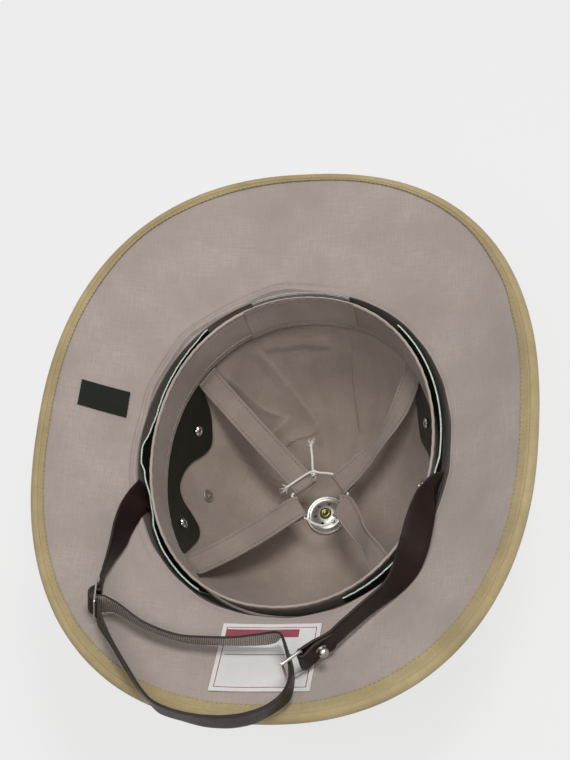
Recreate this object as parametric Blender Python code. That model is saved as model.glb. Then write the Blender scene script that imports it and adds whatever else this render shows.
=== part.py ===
"""Pith helmet lying on its crown, hollow up. Metres, +Z up, origin on the ventilator's flat rest face.

+X is one side, +Y the end where the sweatband is joined and -Y the end where the strap lies.
Every cloth, core and tape layer follows one surface, the visible lining: under_height gives its height
over the plan, and a layer lies at a depth from it along its normal.
"""
import math

import bmesh
import bpy
from mathutils import Matrix, Vector

for old in list(bpy.data.objects):
    bpy.data.objects.remove(old, do_unlink=True)

MM = 0.001
UP = Vector((0.0, 0.0, 1.0))
AROUND = 36                        # facets round the helmet

# Lining surface
OPENING_HALF = (0.0955, 0.1060)    # crown opening, across and along
RIM_HALF = (0.1490, 0.1770)        # outline of the bound brim
OPENING_POWER, RIM_POWER = 2.1, 2.35
APEX_Z, OPENING_Z = 0.0150, 0.1235
DOME_POWER_SIDE, DOME_POWER_END = 2.6, 3.8
RIM_Z_SIDE, RIM_Z_FRONT, RIM_Z_REAR = 0.1597, 0.1570, 0.1500
BRIM_CURVE = 1.15

# Layers, measured from the lining's visible face
GAP = 0.3 * MM
SEAT = 0.4 * MM                    # from the smooth lining to a piece that lies on its facets
LABEL_SEAT = 1.1 * MM
CLOTH = 1.0 * MM
CORE_CROWN, CORE_RIM = 4.0 * MM, 1.6 * MM
LAYER_END_U = 1.970                # where the layers stop inside the binding
NORMAL_END = 0.95                  # beyond this share of the brim its tilt no longer changes
STEM_HOLE_U = 0.058
SHELL_JOIN_U = 0.996               # crown core ends here and the brim's core begins at 1

# Sweatband, inner face at its free and deep edges
BAND_FREE = (0.0857, 0.1020, 0.1290)
BAND_DEEP = (0.0835, 0.0968, 0.1000)
BAND_TILT = 0.003                  # free edge stands this much higher at the front
BAND_WALL = 1.0 * MM
PATCH_X = (-0.037, 0.030)

# Binding tape: it starts at BINDING_START in the profile and is narrowed to the row for its turn
BINDING_START, BINDING_NOSE, BINDING_INSIDE = 1.835, 1.962, 1.976
BINDING_EDGE = (
    # turn in degrees, u of the tape's inner edge
    (0, 1.840), (20, 1.875), (30, 1.910), (50, 1.935), (80, 1.945), (115, 1.925), (130, 1.935),
    (150, 1.917), (190, 1.905), (217, 1.896), (240, 1.880), (260, 1.865), (300, 1.840), (360, 1.840),
)

SPACER_WALL, SPACER_SEAT = 0.8 * MM, 0.95 * MM
SPACER_TOP_Z = 0.1262
SPACER_FOLLOWS_TO_Z = 0.096        # below this the strip lies on the lining
SPACER_STEP = 5                    # degrees between sections

STRAP_WIDTH, STRAP_WALL = 18.0 * MM, 1.6 * MM
CORD_RADIUS = 0.8 * MM
CRADLE_WIDTH, CRADLE_WALL = 15.5 * MM, 1.0 * MM
HEM_Z, HEM_RADIUS, HEM_FLAP = 0.0478, 1.6 * MM, 6.0 * MM
HEM_APPROACH = 4.0 * MM            # the last stretch before the hem runs square to it
HEM_SLOPE = math.radians(25.0)

# Cradle tapes: plan of the root on the sweatband's deep edge, plan of the hem's axis, direction of
# the hem and how far the tape bows sideways
TAPES = (
    # name, root_x, root_y, hem_x, hem_y, hem_turn, bow
    ("tape_rear_left", -0.0663, 0.0614, -0.0089, 0.0075, 37.7, 0.0),
    ("tape_rear_right", 0.0663, 0.0614, 0.0147, 0.0087, -52.3, 0.0045),
    ("tape_front_left", -0.0637, -0.0637, -0.0110, -0.0078, 123.2, 0.0),
    ("tape_front_right", 0.0575, -0.0705, 0.0157, -0.0069, -113.5, 0.0),
)
TAPE_SAG = (
    # share of the way from the root to the hem, how far the tape hangs below a straight line
    (0.22, 0.0030), (0.45, 0.0036), (0.70, 0.0026),
)

# Spacer strips: how far the free edge stands from the sweatband (0) to the crown (1)
SPACER_WAVE = {
    # turn in degrees, share
    "spacer_left": ((130, 0.70), (139, 0.30), (155, 0.20), (169, 0.12), (174, 0.35), (180, 0.95),
                    (184, 0.92), (188, 0.50), (197, 0.05), (203, 0.10), (209, 0.45), (220, 0.65),
                    (240, 0.90)),
    "spacer_right": ((-66, 0.45), (-56, 0.50), (-42, 0.50), (-33, 0.03), (-20, 0.03), (-10, 0.15),
                     (-2, 0.42), (6, 0.45), (18, 0.46), (29, 0.48), (40, 0.52), (50, 0.60)),
}
# Deep edge of each strip
SPACER_DEEP_EDGE = {
    # turn in degrees, height
    "spacer_left": ((136, 0.1085), (143, 0.0990), (149, 0.0790), (155, 0.0706), (161, 0.0675),
                    (167, 0.0710), (173, 0.0785), (179, 0.0840), (185, 0.0863), (190, 0.0830),
                    (194, 0.0768), (199, 0.0712), (203, 0.0708), (207, 0.0745), (212, 0.0850),
                    (216, 0.0945), (226, 0.1060)),
    "spacer_right": ((-54, 0.1090), (-42, 0.1030), (-35, 0.0925), (-30, 0.0790), (-22, 0.0735),
                     (-10, 0.0812), (0, 0.0832), (8, 0.0800), (14, 0.0742), (20, 0.0700),
                     (28, 0.0733), (34, 0.0800), (39, 0.0855), (45, 0.1000), (50, 0.1060)),
}

# Metal fittings on the crown wall
EYELETS = (
    # name, x, y
    ("eyelet_left", -0.0684, -0.0044),
    ("eyelet_right", 0.0690, 0.0015),
)
RIVETS = (
    # name, x, y, strip
    ("rivet_left_rear", -0.0745, 0.0323, "spacer_left"),
    ("rivet_left_front", -0.0762, -0.0332, "spacer_left"),
    ("rivet_right_rear", 0.0752, 0.0345, "spacer_right"),
    ("rivet_right_front", 0.0735, -0.0330, "spacer_right"),
)
EYELET_FLANGE, EYELET_TUBE, EYELET_HOLE = 4.2 * MM, 2.0 * MM, 1.1 * MM
RIVET_HEAD, RIVET_SHANK = 3.3 * MM, 1.2 * MM

# Labels on the brim: plan centre, plan size and turn in degrees
LABELS = (
    # name, x, y, across, along, turn
    ("label_dark", -0.1180, 0.0283, 0.0263, 0.0166, -3.0),
    ("label_white", -0.0007, -0.1353, 0.0580, 0.0465, 1.0),
)

# Long strap: centre of the band and the direction across it, in millimetres
STRAP_LEFT = (
    # x, y, z, across_x, across_y, across_z
    (-89.6, -26.0, 119.8, 0.37, -0.60, -0.70),
    (-90.2, -29.8, 123.4, 0.45, -0.45, -0.77),
    (-90.9, -35.0, 128.8, 0.55, -0.18, -0.81),
    (-93.4, -44.7, 133.7, 0.40, -0.28, -0.87),
    (-95.2, -56.2, 138.3, 0.25, -0.38, -0.89),
    (-95.4, -67.4, 142.0, 0.21, 0.17, -0.96),
    (-96.9, -79.8, 147.5, -0.04, 0.27, -0.96),
    (-97.8, -90.1, 153.0, -0.24, 0.20, -0.95),
    (-97.6, -96.5, 156.0, -0.26, 0.00, -0.96),
)
STRAP_UNDER = (
    (-90.7, -127.1, 161.5, -0.45, 0.22, -0.87),
    (-83.4, -137.1, 163.0, -0.37, 0.25, -0.89),
    (-74.0, -149.7, 165.5, -0.37, 0.24, -0.90),
    (-64.0, -162.4, 168.0, -0.35, 0.24, -0.91),
    (-56.3, -170.3, 169.5, -0.32, 0.21, -0.92),
    (-47.5, -176.3, 171.5, -0.38, 0.07, -0.92),
    (-35.4, -179.4, 170.0, -0.35, 0.05, -0.94),
    (-22.7, -181.2, 168.5, -0.29, -0.05, -0.96),
    (-9.4, -181.2, 168.5, -0.21, -0.09, -0.97),
    (2.9, -178.9, 169.5, -0.10, -0.06, -0.99),
    (13.3, -173.9, 170.5, 0.03, 0.11, -0.99),
    (20.3, -167.5, 170.5, 0.02, 0.12, -0.99),
    (21.0, -157.2, 162.8, -0.08, 0.21, -0.98),
    (19.3, -148.2, 157.6, -0.12, 0.24, -0.96),
    (17.4, -142.0, 155.2, -0.14, 0.24, -0.96),
    (14.6, -135.2, 153.6, -0.18, 0.26, -0.95),
    (12.0, -129.0, 152.4, -0.20, 0.26, -0.95),
    (9.9, -126.3, 151.0, -0.18, 0.20, -0.96),
    (6.2, -126.8, 149.4, -0.14, 0.02, -0.99),
    (1.5, -127.4, 148.2, -0.18, -0.03, -0.98),
    (-6.2, -127.8, 146.8, -0.21, 0.00, -0.98),
    (-19.7, -128.4, 146.0, -0.25, 0.08, -0.97),
    (-38.2, -128.2, 146.5, -0.29, 0.10, -0.95),
    (-50.0, -127.2, 147.5, -0.31, 0.16, -0.94),
    (-62.1, -124.0, 149.0, -0.34, 0.19, -0.92),
    (-74.1, -119.3, 151.0, -0.36, 0.18, -0.92),
    (-87.0, -112.2, 154.5, -0.40, 0.05, -0.92),
)
# Slide: centre, its long side and the direction it faces
SLIDE_CENTRE = Vector((-0.0981, -0.1098, 0.1607))
SLIDE_LONG = Vector((0.27, 0.21, 0.94)).normalized()
SLIDE_FACE = Vector((0.95, 0.03, -0.31))
SLIDE_LENGTH, SLIDE_WALL, SLIDE_BAR, SLIDE_PITCH = 22.5 * MM, 1.0 * MM, 1.4 * MM, 7.0 * MM
# Path of the strap through the slide, then of its hemmed end round the middle bar, in millimetres
SLIDE_PASS = (
    # towards_face, across_slide
    (2.5, -9.6), (2.3, -7.2), (0.3, -4.5), (-2.4, -3.0), (-3.6, 0.0),
    (-2.4, 3.0), (0.3, 4.5), (2.3, 7.2), (2.6, 9.8),
)
SLIDE_HOOK = (
    (5.6, 2.2), (3.0, 2.0), (0.0, 1.9), (-1.3, 1.3), (-1.7, 0.0),
    (-1.3, -1.3), (0.0, -1.9), (3.2, -2.0),
)
STRAP_RIGHT = (
    # x, y, z, across_x, across_y, across_z
    (89.6, -24.0, 121.5, 0.20, 0.42, 0.88),
    (88.6, -26.4, 125.6, -0.06, -0.04, 1.00),
    (87.2, -30.2, 129.2, -0.33, -0.36, 0.86),
    (84.8, -36.8, 131.7, -0.55, -0.34, 0.75),
    (83.0, -44.7, 133.0, -0.71, -0.18, 0.68),
    (81.4, -54.8, 134.4, -0.83, -0.09, 0.55),
    (79.9, -64.9, 135.6, -0.88, -0.03, 0.48),
    (78.1, -73.3, 136.8, -0.82, -0.03, 0.56),
    (75.4, -82.3, 138.5, -0.64, -0.04, 0.77),
    (71.4, -90.2, 140.0, -0.42, -0.05, 0.90),
    (66.6, -96.9, 141.5, -0.24, -0.03, 0.97),
    (55.8, -108.4, 145.0, -0.12, -0.02, 0.99),
    (46.0, -120.1, 149.0, -0.08, -0.01, 1.00),
    (39.4, -128.3, 152.2, -0.09, -0.01, 1.00),
    (31.6, -134.1, 154.6, -0.14, -0.02, 0.99),
    (24.0, -140.1, 155.9, -0.16, -0.06, 0.98),
)
FOLD_RADIUS, FLAP_LENGTH, STUD_FROM_FOLD = 2.2 * MM, 21.0 * MM, 11.0 * MM
FLAP_CLOSE = 10.0 * MM             # from the fold to where the flap lies on the strap
LOOP_WIRE, LOOP_LENGTH, LOOP_HEIGHT = 0.9 * MM, 13.2 * MM, 22.6 * MM
LOOP_CORNER = 1.6 * MM
LOOP_DIRECTION = Vector((-0.70, -0.69, 0.28)).normalized()
STUD_COLLAR, STUD_NECK, STUD_BALL = 2.9 * MM, 2.2 * MM, 3.1 * MM
STUD_COLLAR_HEIGHT, STUD_CENTRE_HEIGHT = 0.3 * MM, 2.6 * MM
STUD_RISE = 2.5 * MM               # from the middle of the strap towards its upper edge

# Drawstring points between the hems, in millimetres
CORD_TAIL_LEFT = ((-19.5, 3.7, 53.6), (-15.0, 7.2, 53.6), (-10.4, 10.6, 53.6), (-6.2, 13.4, 53.8),
                  (-2.8, 15.0, 53.6), (1.6, 14.9, 51.6), (6.0, 15.6, 49.2))
CORD_RIGHT = ((19.9, 1.4, 47.8),)
CORD_FRONT = ((11.4, -16.4, 47.6), (8.6, -18.4, 47.2), (3.9, -19.2, 47.0), (-1.9, -17.5, 47.2),
              (-5.4, -15.0, 47.6))
CORD_LEFT = ((-16.4, 1.0, 47.8),)
CORD_TAIL_REAR = ((-2.2, 13.4, 48.6), (-3.0, 15.4, 50.2), (-3.6, 18.6, 51.8), (-4.0, 24.0, 52.6),
                  (-4.8, 29.0, 52.6), (-5.9, 34.4, 52.2))

# Ventilator: sections in millimetres; the washer's heights are above its seat
KNOB_CAP = (
    # radius, height
    (0.0, 0.0), (16.5, 0.0), (18.7, 0.9), (19.5, 3.0), (18.3, 5.2), (11.5, 5.2),
)
KNOB_FOOT, KNOB_STEM, KNOB_SCREW = 11.5 * MM, 4.4 * MM, 2.0 * MM
STEM_ABOVE_LINING, SCREW_ABOVE_LINING = 0.4 * MM, 4.7 * MM
WASHER_TOP = (
    # radius, height
    (13.1, 0.8), (11.7, 0.8), (11.0, 1.9), (9.4, 1.2), (5.0, 3.4), (2.5, 3.4),
)
WASHER_SEAT, WASHER_WALL, WASHER_RISE = 1.0 * MM, 0.8, 3.4 * MM
WASHER_HOLES, WASHER_HOLE_RADIUS, WASHER_HOLE_RING = 6, 1.25 * MM, 7.1 * MM
NUT_SECTION = (
    # radius, height
    (0.0, 2.0), (2.2, 2.0), (3.4, 1.5), (3.8, 0.0), (2.4, 0.0), (2.4, 0.8), (0.0, 0.8),
)

# Eyelet: radius and height of its inner flange, then of its outer one below the outer cloth
EYELET_LIP, EYELET_UNDER, EYELET_OUTER = 1.5 * MM, 0.8 * MM, 0.7 * MM
RIVET_LIP, RIVET_RISE, RIVET_DEPTH = 0.2 * MM, 1.0 * MM, 4.0 * MM

COLOURS = {
    # finish: red, green, blue, roughness, metallic
    "pith": (0.55, 0.47, 0.34, 0.95, 0.0),
    "taupe_cloth": (0.28, 0.23, 0.20, 0.95, 0.0),
    "khaki_cloth": (0.38, 0.31, 0.19, 0.95, 0.0),
    "olive_tape": (0.37, 0.30, 0.17, 0.90, 0.0),
    "fibre": (0.012, 0.016, 0.009, 0.60, 0.0),
    "leather": (0.030, 0.019, 0.017, 0.55, 0.0),
    "steel": (0.55, 0.54, 0.52, 0.35, 1.0),
    "brass": (0.35, 0.30, 0.14, 0.40, 1.0),
    "white_cord": (0.62, 0.58, 0.54, 0.90, 0.0),
    "label_dark": (0.012, 0.016, 0.010, 0.80, 0.0),
    "label_white": (0.60, 0.58, 0.56, 0.85, 0.0),
}


def finish(name):
    red, green, blue, roughness, metallic = COLOURS[name]
    mat = bpy.data.materials.get(name) or bpy.data.materials.new(name)
    mat.use_nodes = True
    shader = mat.node_tree.nodes["Principled BSDF"]
    shader.inputs["Base Color"].default_value = (red, green, blue, 1.0)
    shader.inputs["Roughness"].default_value = roughness
    shader.inputs["Metallic"].default_value = metallic
    return mat


def place(name, bm, material, sharp=40.0):
    bmesh.ops.recalc_face_normals(bm, faces=bm.faces)
    if bm.calc_volume(signed=True) < 0.0:
        bmesh.ops.reverse_faces(bm, faces=bm.faces)
    mesh = bpy.data.meshes.new(name)
    bm.to_mesh(mesh)
    bm.free()
    mesh.shade_smooth()
    mesh.set_sharp_from_angle(angle=math.radians(sharp))
    obj = bpy.data.objects.new(name, mesh)
    obj.data.materials.append(finish(material))
    bpy.context.collection.objects.link(obj)
    return obj


def table_value(table, at):
    """Value of a two-column table at a place, eased between its rows."""
    if at <= table[0][0]:
        return table[0][1]
    for (a, va), (b, vb) in zip(table, table[1:]):
        if at <= b:
            part = (at - a) / (b - a)
            return va + (vb - va) * part * part * (3.0 - 2.0 * part)
    return table[-1][1]


def oval(turn, half, power):
    """Plan point of a superellipse at a turn in radians."""
    c, s = math.cos(turn), math.sin(turn)
    return (half[0] * math.copysign(abs(c) ** (2.0 / power), c),
            half[1] * math.copysign(abs(s) ** (2.0 / power), s))


def reach(x, y, half, power):
    return (abs(x / half[0]) ** power + abs(y / half[1]) ** power) ** (1.0 / power)


def dome_power(x, y):
    """The crown is fuller at its ends than at its sides."""
    along = abs(y / OPENING_HALF[1]) ** OPENING_POWER
    total = along + abs(x / OPENING_HALF[0]) ** OPENING_POWER
    end_part = along / total if total > 1e-12 else 0.0
    return DOME_POWER_SIDE + (DOME_POWER_END - DOME_POWER_SIDE) * end_part


def under_height(x, y):
    """Height of the lining over a plan point: crown inside the opening, brim outside it."""
    inner = reach(x, y, OPENING_HALF, OPENING_POWER)
    if inner <= 1.0:
        return APEX_Z + (OPENING_Z - APEX_Z) * inner ** dome_power(x, y)
    outer = reach(x, y, RIM_HALF, RIM_POWER)
    from_opening = (inner - 1.0) * OPENING_HALF[0]
    to_rim = max(0.0, 1.0 - outer) * RIM_HALF[0]
    part = from_opening / (from_opening + to_rim)
    share = (y / (outer * RIM_HALF[1])) ** 2
    end_z = RIM_Z_FRONT if y < 0.0 else RIM_Z_REAR
    rim_z = RIM_Z_SIDE + (end_z - RIM_Z_SIDE) * share
    return OPENING_Z + (rim_z - OPENING_Z) * part ** BRIM_CURVE


def under_normal(x, y):
    step = 1.5 * MM
    slope_x = (under_height(x + step, y) - under_height(x - step, y)) / (2.0 * step)
    slope_y = (under_height(x, y + step) - under_height(x, y - step)) / (2.0 * step)
    return Vector((-slope_x, -slope_y, 1.0)).normalized()


def plan_point(u, turn):
    """Plan place at u and turn, and the place where the surface's tilt is read."""
    x, y = oval(turn, OPENING_HALF, OPENING_POWER)
    if u <= 1.0:
        return (x * u, y * u), (x * u, y * u)
    x_rim, y_rim = oval(turn, RIM_HALF, RIM_POWER)
    shares = (u - 1.0, min(u - 1.0, NORMAL_END))
    return tuple((x + (x_rim - x) * share, y + (y_rim - y) * share) for share in shares)


def layer_point(u, turn, depth):
    """u runs 0 to 1 from apex to opening and 1 to 2 from opening to rim; depth is along the normal."""
    (x, y), tilt = plan_point(u, turn)
    return Vector((x, y, under_height(x, y))) + under_normal(*tilt) * depth


def binding_point(u, turn, depth):
    """The same for the binding, whose inner part is narrowed to its row in the table."""
    edge = table_value(BINDING_EDGE, math.degrees(turn) % 360.0)
    inside = max(0.0, BINDING_NOSE - u) * (BINDING_NOSE - edge) / (BINDING_NOSE - BINDING_START)
    return layer_point(max(u, BINDING_NOSE) - inside, turn, depth)


def core(u):
    return CORE_CROWN + (CORE_RIM - CORE_CROWN) * max(0.0, u - 1.0)


def split_alike(bm):
    """Cut every turned quad along the same diagonal, so that nested layers keep their gap."""
    for face in list(bm.faces):
        middle = face.calc_center_median()
        out = Vector((middle.x, middle.y, 0.0)).normalized()
        slant = out + UP.cross(out)
        corners = list(face.verts)
        far = max(range(4), key=lambda i: (corners[i].co - middle).dot(slant))
        bmesh.utils.face_split(face, corners[far], corners[far - 2])


def turned_layer(name, profile, material, lay=layer_point):
    """Spin a closed (u, depth) profile about Z, then lay every vertex on the helmet's surface."""
    bm = bmesh.new()
    ring = [bm.verts.new((u, 0.0, depth)) for u, depth in profile]
    edges = [bm.edges.new((a, b)) for a, b in zip(ring, ring[1:] + ring[:1])]
    bmesh.ops.spin(bm, geom=ring + edges, cent=(0, 0, 0), axis=UP, angle=math.tau,
                   steps=AROUND, use_merge=True, use_duplicate=False)
    split_alike(bm)
    for vert in bm.verts:
        turn = math.atan2(vert.co.y, vert.co.x)
        vert.co = lay(math.hypot(vert.co.x, vert.co.y), turn, vert.co.z)
    return place(name, bm, material)


def wall(us, near, far):
    """Closed profile between two depths along the given u rows."""
    return [(u, near(u)) for u in us] + [(u, far(u)) for u in reversed(us)]


def turned(name, profile, material, matrix=Matrix.Identity(4), steps=20):
    """Spin an open (radius, height) profile whose ends lie on the axis, or a closed one off it."""
    bm = bmesh.new()
    ring = [bm.verts.new((radius, 0.0, height)) for radius, height in profile]
    pairs = list(zip(ring, ring[1:]))
    if profile[0][0] > 0.0:
        pairs.append((ring[-1], ring[0]))
    edges = [bm.edges.new(pair) for pair in pairs]
    bmesh.ops.spin(bm, geom=ring + edges, cent=(0, 0, 0), axis=UP, angle=math.tau,
                   steps=steps, use_merge=True, use_duplicate=False)
    bmesh.ops.remove_doubles(bm, verts=bm.verts, dist=0.00001)
    bm.transform(matrix)
    return place(name, bm, material)


def loft(name, sections, material, closed=False):
    """Join sections of equal length into one skin, capped at both ends unless it closes on itself."""
    bm = bmesh.new()
    rings = [[bm.verts.new(point) for point in section] for section in sections]
    loops = list(zip(rings, rings[1:])) + ([(rings[-1], rings[0])] if closed else [])
    for ring, following in loops:
        for i in range(len(ring)):
            j = (i + 1) % len(ring)
            bm.faces.new((ring[i], ring[j], following[j], following[i]))
    if not closed:
        bm.faces.new(reversed(rings[0]))
        bm.faces.new(rings[-1])
    return place(name, bm, material)


def through(points, step):
    """Points along the smooth curve through the given rows, about one step apart."""
    rows = [Vector(row) for row in points]
    result = []
    for i in range(len(rows) - 1):
        before = rows[max(i - 1, 0)]
        start, end = rows[i], rows[i + 1]
        after = rows[min(i + 2, len(rows) - 1)]
        count = max(1, round((end - start).to_3d().length / step))
        for k in range(count):
            t = k / count
            result.append(0.5 * (2.0 * start + (end - before) * t
                                 + (2.0 * before - 5.0 * start + 4.0 * end - after) * t * t
                                 + (3.0 * start - before - 3.0 * end + after) * t ** 3))
    result.append(rows[-1])
    return result


def ribbon(name, stations, width, thickness, material):
    """A flat strip along (centre, across) stations."""
    sections = []
    for i, (centre, across) in enumerate(stations):
        ahead = stations[min(i + 1, len(stations) - 1)][0] - stations[max(i - 1, 0)][0]
        across = (across - across.project(ahead)).normalized()
        face = ahead.cross(across).normalized()
        side, half = across * width / 2.0, face * thickness / 2.0
        sections.append([centre - side - half, centre + side - half, centre + side + half,
                         centre - side + half])
    return loft(name, sections, material)


def strap_stations(rows, step=6.0 * MM):
    """Rows of centre and across in millimetres, made into smooth stations."""
    centres = through([Vector(row[:3]) * MM for row in rows], step)
    counts = [max(1, round((Vector(b[:3]) - Vector(a[:3])).length * MM / step))
              for a, b in zip(rows, rows[1:])]
    acrosses = []
    for (a, b), count in zip(zip(rows, rows[1:]), counts):
        acrosses += [Vector(a[3:]).lerp(Vector(b[3:]), k / count) for k in range(count)]
    acrosses.append(Vector(rows[-1][3:]))
    return list(zip(centres, acrosses))


def cut(target, cutter):
    modifier = target.modifiers.new("cut", "BOOLEAN")
    modifier.operation = "DIFFERENCE"
    modifier.solver = "EXACT"
    modifier.object = cutter
    cutter.hide_render = True
    cutter.display_type = "WIRE"


def rod(name, radius, length, matrix, sides=12):
    bm = bmesh.new()
    bmesh.ops.create_cone(bm, cap_ends=True, segments=sides, radius1=radius, radius2=radius,
                          depth=length, matrix=matrix)
    return place(name, bm, "steel")


def block(name, size, matrix, material):
    bm = bmesh.new()
    bmesh.ops.create_cube(bm, size=1.0, matrix=matrix @ Matrix.Diagonal((*size, 1.0)))
    return place(name, bm, material)


def tube(name, points, radius, material, cyclic=False, resolution=2):
    curve = bpy.data.curves.new(name, "CURVE")
    curve.dimensions = "3D"
    curve.bevel_depth = radius
    curve.bevel_resolution = resolution
    curve.use_fill_caps = not cyclic
    spline = curve.splines.new("POLY")
    spline.points.add(len(points) - 1)
    for target, point in zip(spline.points, points):
        target.co = (*point, 1.0)
    spline.use_cyclic_u = cyclic
    obj = bpy.data.objects.new(name, curve)
    curve.materials.append(finish(material))
    bpy.context.collection.objects.link(obj)
    return obj


def frame_at(origin, axis):
    """Matrix whose Z is the axis and whose origin is the point."""
    return Matrix.Translation(origin) @ axis.to_track_quat("Z", "Y").to_matrix().to_4x4()


# Layers of the helmet ---------------------------------------------------------------------------
CROWN_U = (STEM_HOLE_U, 0.15, 0.36, 0.56, 0.72, 0.85, 0.93)
BRIM_U = (1.0, 1.40, 1.84, LAYER_END_U)
LINING_END_U = 0.985
HAT_BAND_U, HAT_BAND_WALL = (0.80, 0.85, 0.93), 1.2 * MM
SHELL_FACE = -(CLOTH + GAP)


def shell_outside(u):
    return SHELL_FACE - core(u)


def cover_face(u):
    return shell_outside(u) - GAP


def cover_outside(u):
    return cover_face(u) - CLOTH


crown_shell = turned_layer("crown_shell", wall(CROWN_U + (SHELL_JOIN_U,), lambda u: SHELL_FACE,
                                               shell_outside), "pith")
turned_layer("brim_shell", wall(BRIM_U, lambda u: SHELL_FACE, shell_outside), "pith")
cover = turned_layer("cover", wall(CROWN_U + BRIM_U, cover_face, cover_outside), "khaki_cloth")
crown_lining = turned_layer("crown_lining", wall(CROWN_U + (LINING_END_U,), lambda u: 0.0,
                                                 lambda u: -CLOTH), "taupe_cloth")
turned_layer("brim_lining", wall(BRIM_U, lambda u: 0.0, lambda u: -CLOTH), "taupe_cloth")
turned_layer("hat_band", wall(HAT_BAND_U, lambda u: cover_outside(u) - GAP,
                              lambda u: cover_outside(u) - GAP - HAT_BAND_WALL), "khaki_cloth")


def binding_profile():
    """U-shaped section of the tape round the brim's edge."""
    top_in, bottom_in = GAP, cover_outside(2.0) - GAP
    top, bottom = top_in + CLOTH, bottom_in - CLOTH
    middle, half = (top + bottom) / 2.0, (top - bottom) / 2.0
    nose = [(BINDING_NOSE + (2.0 - BINDING_NOSE) * math.cos(a), middle + half * math.sin(a))
            for a in (math.radians(degrees) for degrees in (50, 0, -50))]
    lead = cover_outside(BINDING_START) - cover_outside(2.0)
    return ([(BINDING_START, top), (BINDING_NOSE, top)] + nose
            + [(BINDING_NOSE, bottom), (BINDING_START, bottom + lead), (BINDING_START, bottom_in + lead)]
            + [(BINDING_INSIDE, bottom_in), (BINDING_INSIDE, top_in), (BINDING_START, top_in)])


turned_layer("brim_binding", binding_profile(), "olive_tape", binding_point)


# Sweatband, its joint and the spacer strips -----------------------------------------------------
def band_point(turn, z, out):
    """Point of the sweatband's inner face at a height, moved outwards."""
    part = (z - BAND_DEEP[2]) / (BAND_FREE[2] - BAND_DEEP[2])
    half = [BAND_DEEP[k] + (BAND_FREE[k] - BAND_DEEP[k]) * part + out for k in (0, 1)]
    x, y = oval(turn, half, OPENING_POWER)
    return Vector((x, y, z))


def free_edge_z(turn):
    return BAND_FREE[2] - BAND_TILT * math.sin(turn)


def band_sections(turns, z_low, z_top, near, far, rows=3):
    sections = []
    for turn in turns:
        heights = [z_low + (z_top(turn) - z_low) * k / (rows - 1) for k in range(rows)]
        sections.append([band_point(turn, z, near) for z in heights]
                        + [band_point(turn, z, far) for z in reversed(heights)])
    return sections


round_turns = [math.tau * k / AROUND for k in range(AROUND)]
loft("sweatband", band_sections(round_turns, BAND_DEEP[2], free_edge_z, 0.0, BAND_WALL),
     "taupe_cloth", closed=True)
patch_turns = [math.acos((PATCH_X[1] + (PATCH_X[0] - PATCH_X[1]) * k / 8.0) / BAND_FREE[0])
               for k in range(9)]
loft("sweatband_joint", band_sections(patch_turns, BAND_DEEP[2] + 0.5 * MM,
                                      lambda turn: free_edge_z(turn) + 0.8 * MM,
                                      -SEAT - CLOTH, -SEAT), "taupe_cloth")


def crown_point(turn, z, inwards):
    """Point of the crown lining at a height, moved off it along the normal."""
    height = min(z, OPENING_Z - 1.0 * MM)
    x, y = oval(turn, OPENING_HALF, OPENING_POWER)
    part = ((height - APEX_Z) / (OPENING_Z - APEX_Z)) ** (1.0 / dome_power(x, y))
    x, y = x * part, y * part
    flat = Vector((under_normal(x, y).x, under_normal(x, y).y, 0.0)).normalized()
    return Vector((x, y, z)) + flat * inwards / 0.93


def spacer(name):
    wave = SPACER_WAVE[name]
    first, last = wave[0][0], wave[-1][0]
    count = round((last - first) / SPACER_STEP)
    sections = []
    for k in range(count + 1):
        degrees = first + (last - first) * k / count
        turn = math.radians(degrees)
        low = table_value(SPACER_DEEP_EDGE[name], degrees)
        stand = table_value(wave, degrees)
        near, far = [], []
        for row in range(5):
            z = low + (SPACER_TOP_Z - low) * row / 4.0
            rise = min(1.0, max(0.0, (z - SPACER_FOLLOWS_TO_Z) / (SPACER_TOP_Z - SPACER_FOLLOWS_TO_Z)))
            share = 1.0 + (stand - 1.0) * rise * rise * (3.0 - 2.0 * rise)
            for side, offset in ((near, SPACER_SEAT), (far, SPACER_SEAT + SPACER_WALL)):
                at_crown = crown_point(turn, z, offset)
                at_band = band_point(turn, z, BAND_WALL + 2.0 * SPACER_SEAT + SPACER_WALL - offset)
                side.append(at_band.lerp(at_crown, share))
        sections.append(near + far[::-1])
    return loft(name, sections, "fibre")


spacers = {name: spacer(name) for name in SPACER_WAVE}


# Cradle tapes and drawstring --------------------------------------------------------------------
def hem_frame(tape):
    """Centre of the hem's tube, direction of the tape there, its normal and the direction across it."""
    _, _, _, hem_x, hem_y, hem_turn, _ = tape
    across = Matrix.Rotation(math.radians(hem_turn), 3, "Z") @ Vector((1.0, 0.0, 0.0))
    along = across.cross(UP)
    slope = along * math.cos(HEM_SLOPE) - UP * math.sin(HEM_SLOPE)
    normal = along * math.sin(HEM_SLOPE) + UP * math.cos(HEM_SLOPE)
    return Vector((hem_x, hem_y, HEM_Z)), slope, normal, across


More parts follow.
